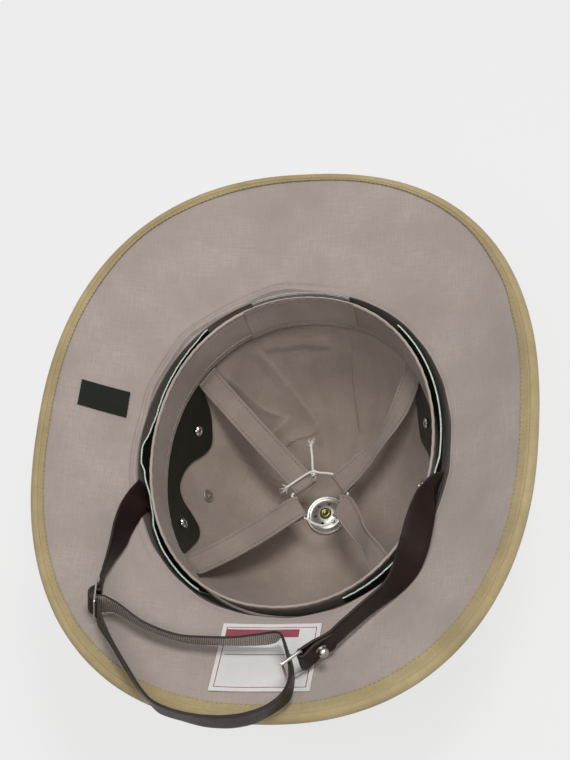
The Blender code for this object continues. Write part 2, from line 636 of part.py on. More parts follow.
def cradle_tape(tape):
    name, root_x, root_y, _, _, _, bow = tape
    centre, slope, normal, across = hem_frame(tape)
    turn = math.atan2(root_y / BAND_DEEP[1], root_x / BAND_DEEP[0])
    root = band_point(turn, BAND_DEEP[2] - 3.0 * SEAT, 0.0)
    end = centre + normal * HEM_RADIUS - slope * HEM_APPROACH
    below = root - UP * 5.0 * MM + (end - root) * 0.05
    sideways = UP.cross(end - root).normalized()
    tangent = band_point(turn + 0.05, BAND_DEEP[2], 0.0) - band_point(turn - 0.05, BAND_DEEP[2], 0.0)
    tangent = tangent.normalized() * math.copysign(1.0, tangent.dot(across))
    path = [root, below]
    for part, sag in TAPE_SAG:
        path.append(below.lerp(end, part) - UP * sag + sideways * bow * 4.0 * part * (1.0 - part))
    path.append(end)
    for degrees in range(90, -91, -30):
        angle = math.radians(degrees)
        path.append(centre + (slope * math.cos(angle) + normal * math.sin(angle)) * HEM_RADIUS)
    path.append(centre - normal * HEM_RADIUS - slope * HEM_FLAP)
    turning = [1.0, 1.0, 0.75, 0.5, 0.25] + [0.0] * (len(path) - 5)
    stations = [(point, across.lerp(tangent, part)) for point, part in zip(path, turning)]
    return ribbon(name, stations, CRADLE_WIDTH, CRADLE_WALL, "taupe_cloth")


for tape in TAPES:
    cradle_tape(tape)


def hem_points(tape):
    """Where the cord runs in a hem, from one end of its tube to the other."""
    centre, _, _, across = hem_frame(tape)
    half = across * (CRADLE_WIDTH / 2.0 + SEAT)
    return [centre + half * part for part in (-1.0, -0.7, 0.0, 0.7, 1.0)]


def in_metres(points):
    return [Vector(point) * MM for point in points]


rear_left, rear_right, front_left, front_right = (hem_points(tape) for tape in TAPES)
cord_route = (in_metres(CORD_TAIL_LEFT) + rear_right + in_metres(CORD_RIGHT) + front_right
              + in_metres(CORD_FRONT) + front_left + in_metres(CORD_LEFT) + rear_left
              + in_metres(CORD_TAIL_REAR))
tube("drawstring", through(cord_route, 5.0 * MM), CORD_RADIUS, "white_cord")


# Chin strap, slide, wire loop, short strap and stud ---------------------------------------------
SLIDE_SHORT = SLIDE_FACE.cross(SLIDE_LONG).normalized()
SLIDE_NORMAL = SLIDE_LONG.cross(SLIDE_SHORT).normalized()


def slide_rows(rows):
    """Strap rows, in millimetres, of places given in the slide's own directions."""
    points = [SLIDE_CENTRE / MM + SLIDE_NORMAL * towards + SLIDE_SHORT * short for towards, short in rows]
    return [(*point, *-SLIDE_LONG) for point in points]


long_rows = (list(STRAP_LEFT) + slide_rows(SLIDE_PASS) + list(STRAP_UNDER) + slide_rows(SLIDE_HOOK))
ribbon("chin_strap", strap_stations(long_rows), STRAP_WIDTH, STRAP_WALL, "leather")

slide_matrix = Matrix.Translation(SLIDE_CENTRE) @ Matrix(
    (SLIDE_NORMAL, SLIDE_SHORT, SLIDE_LONG)).transposed().to_4x4()
slide = block("strap_slide", (SLIDE_WALL, 2.0 * SLIDE_PITCH + SLIDE_BAR, SLIDE_LENGTH), slide_matrix,
              "steel")
for side in (-1.0, 1.0):
    slot = block("slide_slot", (4.0 * SLIDE_WALL, SLIDE_PITCH - SLIDE_BAR, SLIDE_LENGTH - 2.0 * SLIDE_BAR),
                 slide_matrix @ Matrix.Translation((0.0, side * SLIDE_PITCH / 2.0, 0.0)), "steel")
    cut(slide, slot)

right_stations = strap_stations(STRAP_RIGHT)
fold_point, fold_across = right_stations[-1]


def back_along(distance):
    """Point, direction across and direction ahead at a distance back from the fold."""
    gone = 0.0
    for (ahead_point, ahead_across), (point, across) in zip(right_stations[::-1], right_stations[-2::-1]):
        length = (ahead_point - point).length
        if gone + length >= distance:
            part = (distance - gone) / length
            ahead = (ahead_point - point).normalized()
            across = ahead_across.lerp(across, part)
            return ahead_point.lerp(point, part), (across - across.project(ahead)).normalized(), ahead
        gone += length
    raise ValueError(distance)


def outward(across, ahead):
    """Normal of the strap on the side towards -Y, where the flap lies."""
    normal = across.cross(ahead).normalized()
    return -normal if normal.y > 0.0 else normal


_, fold_across, fold_ahead = back_along(1.0 * MM)
stud_foot, stud_across, stud_ahead = back_along(STUD_FROM_FOLD)
fold_out = outward(fold_across, fold_ahead)
fold_centre = fold_point + fold_out * FOLD_RADIUS
flap = []
for k in range(1, 6):
    distance = FLAP_LENGTH * k / 5.0
    point, across, ahead = back_along(distance)
    open_part = max(0.0, 1.0 - distance / FLAP_CLOSE)
    apart = STRAP_WALL + SEAT + (2.0 * FOLD_RADIUS - STRAP_WALL - SEAT) * open_part
    flap.append((point + outward(across, ahead) * apart, across))
for degrees in (30, 60, 90, 120, 150, 180):
    angle = math.radians(degrees)
    offset = fold_ahead * math.sin(angle) - fold_out * math.cos(angle)
    right_stations.append((fold_centre + offset * FOLD_RADIUS, fold_across))
ribbon("short_strap", right_stations + flap, STRAP_WIDTH, STRAP_WALL, "leather")


def wire_loop(name, start, end, up, height):
    """Closed rectangle of wire between two bars, with rounded corners."""
    along = (end - start).normalized()
    points = []
    for bar, side, inwards in ((start, 1, 1), (end, 1, -1), (end, -1, -1), (start, -1, 1)):
        corner = bar + up * side * height / 2.0
        beside = corner - up * side * LOOP_CORNER
        bent = corner + (along * inwards - up * side) * LOOP_CORNER * 0.25
        ahead = corner + along * inwards * LOOP_CORNER
        points += [beside, bent, ahead] if side * inwards > 0 else [ahead, bent, beside]
    return tube(name, points, LOOP_WIRE, "steel", cyclic=True)


wire_loop("strap_loop", fold_centre, fold_centre + LOOP_DIRECTION * LOOP_LENGTH, fold_across, LOOP_HEIGHT)

stud_out = outward(stud_across, stud_ahead)
stud_foot = stud_foot + stud_across * STUD_RISE + stud_out * (1.5 * STRAP_WALL + 2.0 * SEAT + GAP)
ball = [(STUD_BALL * math.cos(angle), STUD_CENTRE_HEIGHT + STUD_BALL * math.sin(angle))
        for angle in (math.radians(degrees) for degrees in (-40, -15, 15, 45, 70))]
turned("strap_stud", [(0.0, 0.0), (STUD_COLLAR, 0.0), (STUD_COLLAR, STUD_COLLAR_HEIGHT),
                      (STUD_NECK, STUD_COLLAR_HEIGHT)]
       + ball + [(0.0, STUD_CENTRE_HEIGHT + STUD_BALL)], "steel", frame_at(stud_foot, stud_out), steps=10)


# Ventilator -------------------------------------------------------------------------------------
crown_top = APEX_Z + cover_outside(0.0)
stem_top, screw_top = APEX_Z + STEM_ABOVE_LINING, APEX_Z + SCREW_ABOVE_LINING
turned("ventilator_knob",
       [(radius * MM, height * MM) for radius, height in KNOB_CAP]
       + [(KNOB_FOOT, crown_top - GAP), (KNOB_STEM, crown_top - GAP), (KNOB_STEM, stem_top),
          (KNOB_SCREW, stem_top), (KNOB_SCREW, screw_top), (0.0, screw_top)], "khaki_cloth", steps=24)

washer_z = APEX_Z + WASHER_SEAT
washer = turned("ventilator_washer",
                [(radius * MM, washer_z + height * MM) for radius, height in WASHER_TOP]
                + [(radius * MM, washer_z + (height - WASHER_WALL) * MM)
                   for radius, height in reversed(WASHER_TOP)], "steel", steps=16)
for k in range(WASHER_HOLES):
    angle = math.tau * (k + 0.25) / WASHER_HOLES
    spot = Vector((math.cos(angle), math.sin(angle), 0.0)) * WASHER_HOLE_RING
    spot.z = washer_z + WASHER_RISE / 2.0
    cut(washer, rod("washer_hole", WASHER_HOLE_RADIUS, 2.0 * WASHER_RISE, Matrix.Translation(spot), sides=6))
nut_z = washer_z + WASHER_RISE + GAP
turned("ventilator_nut", [(radius * MM, nut_z + height * MM) for radius, height in NUT_SECTION],
       "brass", steps=12)


# Eyelets and rivets -----------------------------------------------------------------------------
def drill(targets, matrix, radius, length, label):
    for target in targets:
        cut(target, rod(label, radius, length, matrix, sides=8))


def on_lining(x, y):
    return frame_at(Vector((x, y, under_height(x, y))), under_normal(x, y))


wall_depth = cover_outside(0.7) - 3.0 * GAP
for name, x, y in EYELETS:
    matrix = on_lining(x, y)
    turned(name, [
        (EYELET_HOLE, EYELET_LIP + GAP), (EYELET_TUBE, EYELET_LIP + 2.0 * GAP),
        (EYELET_FLANGE, EYELET_LIP), (EYELET_FLANGE, EYELET_UNDER), (EYELET_TUBE, EYELET_UNDER),
        (EYELET_TUBE, wall_depth), (EYELET_FLANGE, wall_depth), (EYELET_FLANGE, wall_depth - EYELET_OUTER),
        (EYELET_HOLE, wall_depth - EYELET_OUTER - GAP)], "steel", matrix, steps=10)
    middle = matrix @ Matrix.Translation((0.0, 0.0, wall_depth / 2.0))
    drill((crown_shell, cover, crown_lining), middle, EYELET_TUBE + GAP, -2.0 * wall_depth, name + "_hole")

for name, x, y, strip in RIVETS:
    matrix = on_lining(x, y)
    top = SPACER_SEAT + SPACER_WALL + 2.0 * GAP
    turned(name, [
        (0.0, top + RIVET_RISE), (RIVET_HEAD * 0.7, top + RIVET_RISE - RIVET_LIP),
        (RIVET_HEAD, top + RIVET_LIP), (RIVET_HEAD, top), (RIVET_SHANK, top),
        (RIVET_SHANK, -RIVET_DEPTH), (0.0, -RIVET_DEPTH)], "steel", matrix, steps=8)
    hole_length = top + 2.0 * RIVET_DEPTH
    middle = matrix @ Matrix.Translation((0.0, 0.0, hole_length / 2.0 - RIVET_DEPTH - 2.0 * GAP))
    drill((spacers[strip], crown_lining, crown_shell), middle, RIVET_SHANK + GAP, hole_length,
          name + "_hole")


# Labels -----------------------------------------------------------------------------------------
for name, x, y, across, along, turn in LABELS:
    spin = Matrix.Rotation(math.radians(turn), 3, "Z")
    columns, rows = 6, 5
    sections = []
    for i in range(columns):
        low, high = [], []
        for j in range(rows):
            flat = spin @ Vector((across * (i / (columns - 1) - 0.5), along * (j / (rows - 1) - 0.5), 0.0))
            px, py = x + flat.x, y + flat.y
            base = Vector((px, py, under_height(px, py)))
            low.append(base + under_normal(px, py) * LABEL_SEAT)
            high.append(base + under_normal(px, py) * (LABEL_SEAT + CLOTH))
        sections.append(low + high[::-1])
    loft(name, sections, name)
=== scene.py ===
"""Looks of a pith helmet that lies on its crown with the hollow up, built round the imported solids.

Every layer follows the visible lining, as in the solids: u runs 0 to 1 from the middle of the crown to the
opening and 1 to 2 from the opening to the rim, and a depth counts from the lining's face into the hollow.
+Y is the end where the sweatband is joined and -Y the end with the chin strap. Lengths are in metres.
"""
import math
import random

import bmesh
import bpy
from mathutils import Matrix, Vector, noise


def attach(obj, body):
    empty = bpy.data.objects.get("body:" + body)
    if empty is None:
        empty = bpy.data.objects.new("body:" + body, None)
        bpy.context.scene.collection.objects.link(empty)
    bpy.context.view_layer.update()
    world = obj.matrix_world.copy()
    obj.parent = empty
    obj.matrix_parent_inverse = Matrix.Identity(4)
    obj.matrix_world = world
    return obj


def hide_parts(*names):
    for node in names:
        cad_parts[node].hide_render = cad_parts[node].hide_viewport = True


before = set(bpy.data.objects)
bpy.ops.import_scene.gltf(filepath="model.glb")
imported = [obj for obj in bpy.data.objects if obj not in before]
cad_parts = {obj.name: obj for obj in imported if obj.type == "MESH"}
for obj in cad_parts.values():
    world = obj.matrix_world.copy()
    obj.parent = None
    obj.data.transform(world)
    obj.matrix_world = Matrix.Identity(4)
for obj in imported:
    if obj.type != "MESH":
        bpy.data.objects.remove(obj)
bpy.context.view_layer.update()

MM = 0.001
UP = Vector((0.0, 0.0, 1.0))
ORIGIN = Vector((0.0, 0.0, 0.0))

# Camera, from the photograph's own view
CAMERA_AZIMUTH, CAMERA_ELEVATION, CAMERA_ROLL = 28.07, 60.94, -26.09     # degrees
CAMERA_DISTANCE = 1.2
CAMERA_TARGET = Vector((-0.01444, 0.0575, 0.1000))
FOCAL_PIXELS, IMAGE_HEIGHT, SENSOR_HEIGHT = 1916.0, 760.0, 36.0

# Lining surface, with the solids' own sizes
OPENING_HALF, OPENING_POWER = (0.0955, 0.1060), 2.1
RIM_HALF, RIM_POWER = (0.1490, 0.1770), 2.35
APEX_Z, OPENING_Z = 0.0150, 0.1235
DOME_POWER_SIDE, DOME_POWER_END = 2.6, 3.8
RIM_Z_SIDE, RIM_Z_FRONT, RIM_Z_REAR = 0.1597, 0.1570, 0.1500
BRIM_CURVE = 1.15
NORMAL_END = 0.95                  # beyond this share of the brim its tilt no longer changes

# Layers
GAP, SEAT, CLOTH = 0.3 * MM, 0.4 * MM, 1.0 * MM
CORE_CROWN, CORE_RIM = 4.0 * MM, 1.6 * MM
STEM_HOLE_U, LAYER_END_U = 0.058, 1.970
HAT_BAND_U, HAT_BAND_WALL = (0.80, 0.93), 1.2 * MM
AROUND = 360                       # steps of a layer round the helmet
BRIM_RADIUS, BAND_RADIUS = 0.165, 0.094      # mean, for lengths along the rim and the sweatband
GORES, GORE_LENGTH, GORE_POWER = 6, 0.135, 2.2
SHARP = 35.0                       # degrees between faces that count as an edge

# Binding tape: it starts at BINDING_START in the profile and is narrowed to the row for its turn
BINDING_START, BINDING_NOSE, BINDING_INSIDE = 1.835, 1.962, 1.976
BINDING_EDGE = (
    # turn in degrees, u of the tape's inner edge
    (0, 1.840), (20, 1.875), (30, 1.910), (50, 1.935), (80, 1.945), (115, 1.925), (130, 1.935),
    (150, 1.917), (190, 1.905), (217, 1.896), (240, 1.880), (260, 1.865), (300, 1.840), (360, 1.840),
)

# Sweatband and spacers
BAND_FREE, BAND_DEEP = (0.0857, 0.1020, 0.1290), (0.0835, 0.0968, 0.1000)
BAND_TILT, BAND_WALL = 0.003, 1.0 * MM
BAND_WIDTH = BAND_FREE[2] - BAND_DEEP[2]
ROLL_WIDTH, STITCH_BELOW_EDGE, HEM_LINES, HEM_PUCKER = 2.6 * MM, 3.3 * MM, (1.6 * MM, 5.0 * MM), 4.0 * MM
STITCH_PITCH, STITCH_THREAD = 2.6 * MM, 0.5 * MM
PATCH_X, PATCH_WALL, PATCH_SEAMS = (-0.037, 0.030), 1.1 * MM, (0.10, 0.90)
BAND_END_TURNS, BAND_END_WALL = (72.0, 111.0), 0.5 * MM
SPACER_WALL, SPACER_SEAT = 0.8 * MM, 0.95 * MM
SPACER_TOP_Z, SPACER_FOLLOWS_TO_Z = 0.1262, 0.096
CROWN_LEAN = 0.93                  # cosine of the crown wall's lean, taken as one value
# How a strip's free edge waves, from the band (0) to the crown (1)
SPACER_WAVE = {
    # turn in degrees, share
    "spacer_left": ((130, 0.70), (139, 0.30), (155, 0.20), (169, 0.12), (174, 0.35), (180, 0.95),
                    (184, 0.92), (188, 0.50), (197, 0.05), (203, 0.10), (209, 0.45), (220, 0.65),
                    (240, 0.90)),
    "spacer_right": ((-66, 0.45), (-56, 0.50), (-42, 0.50), (-33, 0.03), (-20, 0.03), (-10, 0.15),
                     (-2, 0.42), (6, 0.45), (18, 0.46), (29, 0.48), (40, 0.52), (50, 0.60)),
}
# Deep edge of each strip
SPACER_DEEP_EDGE = {
    # turn in degrees, height
    "spacer_left": ((136, 0.1085), (143, 0.0990), (149, 0.0790), (155, 0.0706), (161, 0.0675),
                    (167, 0.0710), (173, 0.0785), (179, 0.0840), (185, 0.0863), (190, 0.0830),
                    (194, 0.0768), (199, 0.0712), (203, 0.0708), (207, 0.0745), (212, 0.0850),
                    (216, 0.0945), (226, 0.1060)),
    "spacer_right": ((-54, 0.1090), (-42, 0.1030), (-35, 0.0925), (-30, 0.0790), (-22, 0.0735),
                     (-10, 0.0812), (0, 0.0832), (8, 0.0800), (14, 0.0742), (20, 0.0700),
                     (28, 0.0733), (34, 0.0800), (39, 0.0855), (45, 0.1000), (50, 0.1060)),
}

# Cradle
CRADLE_WIDTH, CRADLE_WALL = 15.5 * MM, 1.0 * MM
HEM_Z, HEM_RADIUS, HEM_FLAP, HEM_APPROACH = 0.0478, 1.6 * MM, 6.0 * MM, 4.0 * MM
HEM_SLOPE = math.radians(25.0)
CORD_RADIUS = 0.8 * MM
TAPES = (
    # name, root_x, root_y, hem_x, hem_y, hem_turn, bow
    ("tape_rear_left", -0.0663, 0.0614, -0.0089, 0.0075, 37.7, 0.0),
    ("tape_rear_right", 0.0663, 0.0614, 0.0147, 0.0087, -52.3, 0.0045),
    ("tape_front_left", -0.0637, -0.0637, -0.0110, -0.0078, 123.2, 0.0),
    ("tape_front_right", 0.0575, -0.0705, 0.0157, -0.0069, -113.5, 0.0),
)
TAPE_SAG = (
    # share of the way from the root to the hem, how far the tape hangs below a straight line
    (0.22, 0.0030), (0.45, 0.0036), (0.70, 0.0026),
)
TAPE_TWIST = {                     # degrees by which the middle of a tape is tipped
    "tape_rear_left": 0.0, "tape_rear_right": 34.0, "tape_front_left": 6.0, "tape_front_right": -42.0,
}

# Metal fittings and labels
EYELETS = (("eyelet_left", -0.0684, -0.0044), ("eyelet_right", 0.0690, 0.0015))
RIVETS = (
    ("rivet_left_rear", -0.0745, 0.0323), ("rivet_left_front", -0.0762, -0.0332),
    ("rivet_right_rear", 0.0752, 0.0345), ("rivet_right_front", 0.0735, -0.0330),
)
EYELET_FLANGE, RIVET_HEAD = 4.2 * MM, 3.3 * MM
WASHER_HOLE, WASHER_HOLE_RING = 1.25 * MM, 7.1 * MM
LABEL_SEAT, LABEL_WALL, LABEL_STEP = 1.1 * MM, 0.5 * MM, 2.5 * MM
LABEL_INSET, LABEL_LINE, RULE_INSET = 2.4 * MM, 0.5 * MM, 2.0 * MM
LABELS = {
    # node: x, y, across, along, turn in degrees
    "label_dark": (-0.1180, 0.0283, 0.0263, 0.0166, -3.0),
    "label_white": (-0.0007, -0.1353, 0.0580, 0.0465, 1.0),
}

# Straps: centre of the band and the direction across it, in millimetres, as in the solids
STRAP_WIDTH, STRAP_WALL = 18.0 * MM, 1.6 * MM
STRAP_LEFT = (
    # x, y, z, across_x, across_y, across_z
    (-89.6, -26.0, 119.8, 0.37, -0.60, -0.70),
    (-90.2, -29.8, 123.4, 0.45, -0.45, -0.77),
    (-90.9, -35.0, 128.8, 0.55, -0.18, -0.81),
    (-93.4, -44.7, 133.7, 0.40, -0.28, -0.87),
    (-95.2, -56.2, 138.3, 0.25, -0.38, -0.89),
    (-95.4, -67.4, 142.0, 0.21, 0.17, -0.96),
    (-96.9, -79.8, 147.5, -0.04, 0.27, -0.96),
    (-97.8, -90.1, 153.0, -0.24, 0.20, -0.95),
    (-97.6, -96.5, 156.0, -0.26, 0.00, -0.96),
)
STRAP_UNDER = (
    (-90.7, -127.1, 161.5, -0.45, 0.22, -0.87),
    (-83.4, -137.1, 163.0, -0.37, 0.25, -0.89),
    (-74.0, -149.7, 165.5, -0.37, 0.24, -0.90),
    (-64.0, -162.4, 168.0, -0.35, 0.24, -0.91),
    (-56.3, -170.3, 169.5, -0.32, 0.21, -0.92),
    (-47.5, -176.3, 171.5, -0.38, 0.07, -0.92),
    (-35.4, -179.4, 170.0, -0.35, 0.05, -0.94),
    (-22.7, -181.2, 168.5, -0.29, -0.05, -0.96),
    (-9.4, -181.2, 168.5, -0.21, -0.09, -0.97),
    (2.9, -178.9, 169.5, -0.10, -0.06, -0.99),
    (13.3, -173.9, 170.5, 0.03, 0.11, -0.99),
    (20.3, -167.5, 170.5, 0.02, 0.12, -0.99),
    (21.0, -157.2, 162.8, -0.08, 0.21, -0.98),
    (19.3, -148.2, 157.6, -0.12, 0.24, -0.96),
    (17.4, -142.0, 155.2, -0.14, 0.24, -0.96),
    (14.6, -135.2, 153.6, -0.18, 0.26, -0.95),
    (12.0, -129.0, 152.4, -0.20, 0.26, -0.95),
    (9.9, -126.3, 151.0, -0.18, 0.20, -0.96),
    (6.2, -126.8, 149.4, -0.14, 0.02, -0.99),
    (1.5, -127.4, 148.2, -0.18, -0.03, -0.98),
    (-6.2, -127.8, 146.8, -0.21, 0.00, -0.98),
    (-19.7, -128.4, 146.0, -0.25, 0.08, -0.97),
    (-38.2, -128.2, 146.5, -0.29, 0.10, -0.95),
    (-50.0, -127.2, 147.5, -0.31, 0.16, -0.94),
    (-62.1, -124.0, 149.0, -0.34, 0.19, -0.92),
    (-74.1, -119.3, 151.0, -0.36, 0.18, -0.92),
    (-87.0, -112.2, 154.5, -0.40, 0.05, -0.92),
)
# Slide: centre, its long side and the direction it faces
SLIDE_CENTRE = Vector((-0.0981, -0.1098, 0.1607))
SLIDE_LONG = Vector((0.27, 0.21, 0.94)).normalized()
SLIDE_FACE = Vector((0.95, 0.03, -0.31))
SLIDE_LENGTH, SLIDE_WALL, SLIDE_BAR, SLIDE_PITCH = 22.5 * MM, 1.0 * MM, 1.4 * MM, 7.0 * MM
# Path of the strap through the slide, then of its hemmed end round the middle bar, in millimetres
SLIDE_PASS = (
    # towards_face, across_slide
    (2.5, -9.6), (2.3, -7.2), (0.3, -4.5), (-2.4, -3.0), (-3.6, 0.0),
    (-2.4, 3.0), (0.3, 4.5), (2.3, 7.2), (2.6, 9.8),
)
SLIDE_HOOK = (
    (5.6, 2.2), (3.0, 2.0), (0.0, 1.9), (-1.3, 1.3), (-1.7, 0.0),
    (-1.3, -1.3), (0.0, -1.9), (3.2, -2.0),
)
STRAP_RIGHT = (
    # x, y, z, across_x, across_y, across_z
    (89.6, -24.0, 121.5, 0.20, 0.42, 0.88),
    (88.6, -26.4, 125.6, -0.06, -0.04, 1.00),
    (87.2, -30.2, 129.2, -0.33, -0.36, 0.86),
    (84.8, -36.8, 131.7, -0.55, -0.34, 0.75),
    (83.0, -44.7, 133.0, -0.71, -0.18, 0.68),
    (81.4, -54.8, 134.4, -0.83, -0.09, 0.55),
    (79.9, -64.9, 135.6, -0.88, -0.03, 0.48),
    (78.1, -73.3, 136.8, -0.82, -0.03, 0.56),
    (75.4, -82.3, 138.5, -0.64, -0.04, 0.77),
    (71.4, -90.2, 140.0, -0.42, -0.05, 0.90),
    (66.6, -96.9, 141.5, -0.24, -0.03, 0.97),
    (55.8, -108.4, 145.0, -0.12, -0.02, 0.99),
    (46.0, -120.1, 149.0, -0.08, -0.01, 1.00),
    (39.4, -128.3, 152.2, -0.09, -0.01, 1.00),
    (31.6, -134.1, 154.6, -0.14, -0.02, 0.99),
    (24.0, -140.1, 155.9, -0.16, -0.06, 0.98),
)
FOLD_RADIUS, FLAP_LENGTH, STUD_FROM_FOLD = 2.2 * MM, 21.0 * MM, 11.0 * MM
FLAP_CLOSE = 10.0 * MM             # from the fold to where the flap lies on the strap
LOOP_WIRE, LOOP_LENGTH, LOOP_HEIGHT = 0.9 * MM, 13.2 * MM, 22.6 * MM
LOOP_CORNER = 1.6 * MM
LOOP_DIRECTION = Vector((-0.70, -0.69, 0.28)).normalized()
STUD_COLLAR, STUD_NECK, STUD_BALL = 2.9 * MM, 2.2 * MM, 3.1 * MM
STUD_COLLAR_HEIGHT, STUD_CENTRE_HEIGHT = 0.3 * MM, 2.6 * MM
STUD_RISE = 2.5 * MM               # from the middle of the strap towards its upper edge

# Drawstring between the hems, in millimetres, as in the solids
CORD_TAIL_LEFT = ((-19.5, 3.7, 53.6), (-15.0, 7.2, 53.6), (-10.4, 10.6, 53.6), (-6.2, 13.4, 53.8),
                  (-2.8, 15.0, 53.6), (1.6, 14.9, 51.6), (6.0, 15.6, 49.2))
CORD_RIGHT = ((19.9, 1.4, 47.8),)
CORD_FRONT = ((11.4, -16.4, 47.6), (8.6, -18.4, 47.2), (3.9, -19.2, 47.0), (-1.9, -17.5, 47.2),
              (-5.4, -15.0, 47.6))
CORD_LEFT = ((-16.4, 1.0, 47.8),)
KNOT_CENTRE, KNOT_SIZE = (-2.6, 14.4, 52.4), 0.62 * MM
CORD_TAIL_REAR = ((-2.2, 13.4, 48.6), (-3.0, 15.4, 50.2), (-3.6, 18.6, 51.8), (-4.0, 24.0, 52.6),
                  (-4.8, 29.0, 52.6), (-5.9, 34.4, 52.2))

# Studio
FLOOR_SIDE, FLOOR_GLOW, WORLD_STRENGTH = 12.0, 0.73, 0.34
LIGHT_TARGET = Vector((0.0, 0.0, 0.1))
LIGHTS = (
    # name, place, diameter, power in watts
    ("key", (0.55, 0.25, 2.0), 0.6, 22.5),
    ("front", (0.0, -0.7, 2.0), 0.9, 12.0),
)


# Camera, floor and light ------------------------------------------------------------------------
def make_camera():
    azimuth, elevation = math.radians(CAMERA_AZIMUTH), math.radians(CAMERA_ELEVATION)
    roll = math.radians(CAMERA_ROLL)
    back = Vector((math.sin(azimuth) * math.cos(elevation), -math.cos(azimuth) * math.cos(elevation),
                   math.sin(elevation)))
    level = (-back).cross(UP).normalized()
    rise = level.cross(-back)
    right = level * math.cos(roll) + rise * math.sin(roll)
    top = rise * math.cos(roll) - level * math.sin(roll)
    data = bpy.data.cameras.new("camera")
    data.sensor_fit = "VERTICAL"
    data.sensor_height = SENSOR_HEIGHT
    data.lens = FOCAL_PIXELS / IMAGE_HEIGHT * SENSOR_HEIGHT
    camera = bpy.data.objects.new("camera", data)
    camera.matrix_world = (Matrix.Translation(CAMERA_TARGET + back * CAMERA_DISTANCE)
                           @ Matrix((right, top, back)).transposed().to_4x4())
    bpy.context.collection.objects.link(camera)
    bpy.context.scene.camera = camera


def make_light(name, place, size, power):
    data = bpy.data.lights.new(name, "AREA")
    data.shape = "DISK"
    data.size = size
    data.energy = power
    light = bpy.data.objects.new(name, data)
    light.matrix_world = (Matrix.Translation(place)
                          @ (Vector(place) - LIGHT_TARGET).to_track_quat("Z", "Y").to_matrix().to_4x4())
    bpy.context.collection.objects.link(light)


make_camera()


# Materials --------------------------------------------------------------------------------------
def linear(colour):
    """A hex sRGB colour as linear red, green, blue and alpha."""
    channels = [int(colour[i:i + 2], 16) / 255.0 for i in (1, 3, 5)]
    return (*[c / 12.92 if c <= 0.04045 else ((c + 0.055) / 1.055) ** 2.4 for c in channels], 1.0)


def add(tree, kind, inputs=None, **settings):
    """Add a shader node with its settings, and link or set its inputs."""
    made = tree.nodes.new("ShaderNode" + kind)
    for name, value in settings.items():
        setattr(made, name, value)
    for key, value in (inputs or {}).items():
        if isinstance(value, bpy.types.NodeSocket):
            tree.links.new(value, made.inputs[key])
        else:
            made.inputs[key].default_value = value
    return made


def material(name, **sockets):
    """A Principled material with plain values on its own sockets."""
    mat = bpy.data.materials.new(name)
    mat.use_nodes = True
    shader = mat.node_tree.nodes["Principled BSDF"]
    for key, value in sockets.items():
        shader.inputs[key.replace("_", " ")].default_value = value
    return mat, mat.node_tree, shader


def mixed(tree, share, first, second):
    """Colour between two others, by a share."""
    return add(tree, "Mix", {0: share, A: first, B: second}, data_type="RGBA").outputs[RESULT]


def glossed(tree, shader, drift, low, high):
    """Let the roughness drift from low to high."""
    polish = add(tree, "MapRange", {"Value": drift, "To Min": low, "To Max": high})
    tree.links.new(polish.outputs[0], shader.inputs["Roughness"])


def raised(tree, shader, height, strength, distance):
    """Bump the surface by a height."""
    bump = add(tree, "Bump", {"Height": height, "Strength": strength, "Distance": distance})
    tree.links.new(bump.outputs["Normal"], shader.inputs["Normal"])


A, B, RESULT = 6, 7, 2             # colour sockets of a Mix node
WAVE_UNIT = 0.314                  # a wave texture of scale 1 repeats over this many units


def woven(name, thread, warp, weft, shade, roughness=0.92, sheen=0.12):
    """Cotton cloth. Two sets of threads of slightly different tone, thick and thin places along each
    thread and faint cloudy shading. The threads are drawn about twice as coarse as real ones, to show."""
    mat, tree, shader = material(name, Roughness=roughness, Sheen_Weight=sheen, Sheen_Roughness=0.6,
                                 Specular_IOR_Level=0.25)
    uv = add(tree, "UVMap", uv_map="cloth").outputs["UV"]
    slubs = []
    for across, along in ((thread, 12.0 * thread), (12.0 * thread, thread)):
        spread = add(tree, "Mapping", {"Vector": uv, "Scale": (1.0 / across, 1.0 / along, 1.0)})
        slubs.append(add(tree, "TexNoise", {"Vector": spread.outputs["Vector"], "Scale": 1.0, "Detail": 2.0},
                         noise_dimensions="2D").outputs["Fac"])
    threads = add(tree, "Math", {0: slubs[0], 1: slubs[1]}, operation="SUBTRACT")
    share = add(tree, "MapRange", {"Value": threads.outputs[0], "From Min": -0.35, "From Max": 0.35})
    tone = mixed(tree, share.outputs[0], linear(warp), linear(weft))
    place = add(tree, "TexCoord").outputs["Object"]
    cloud = add(tree, "TexNoise", {"Vector": place, "Scale": 28.0, "Detail": 3.0})
    depth = add(tree, "MapRange", {"Value": cloud.outputs["Fac"], "From Min": 0.35, "From Max": 0.75})
    tree.links.new(mixed(tree, depth.outputs[0], tone, linear(shade)), shader.inputs["Base Color"])
    rows = [add(tree, "TexWave", {"Vector": uv, "Scale": WAVE_UNIT / thread, "Distortion": 0.6},
                wave_type="BANDS", bands_direction=way).outputs["Fac"] for way in ("X", "Y")]
    cross = add(tree, "Math", {0: rows[0], 1: rows[1]}, operation="MULTIPLY")
    height = add(tree, "Math", {0: cross.outputs[0], 1: threads.outputs[0]}, operation="ADD")
    raised(tree, shader, height.outputs[0], 0.5, 0.12 * MM)
    return mat


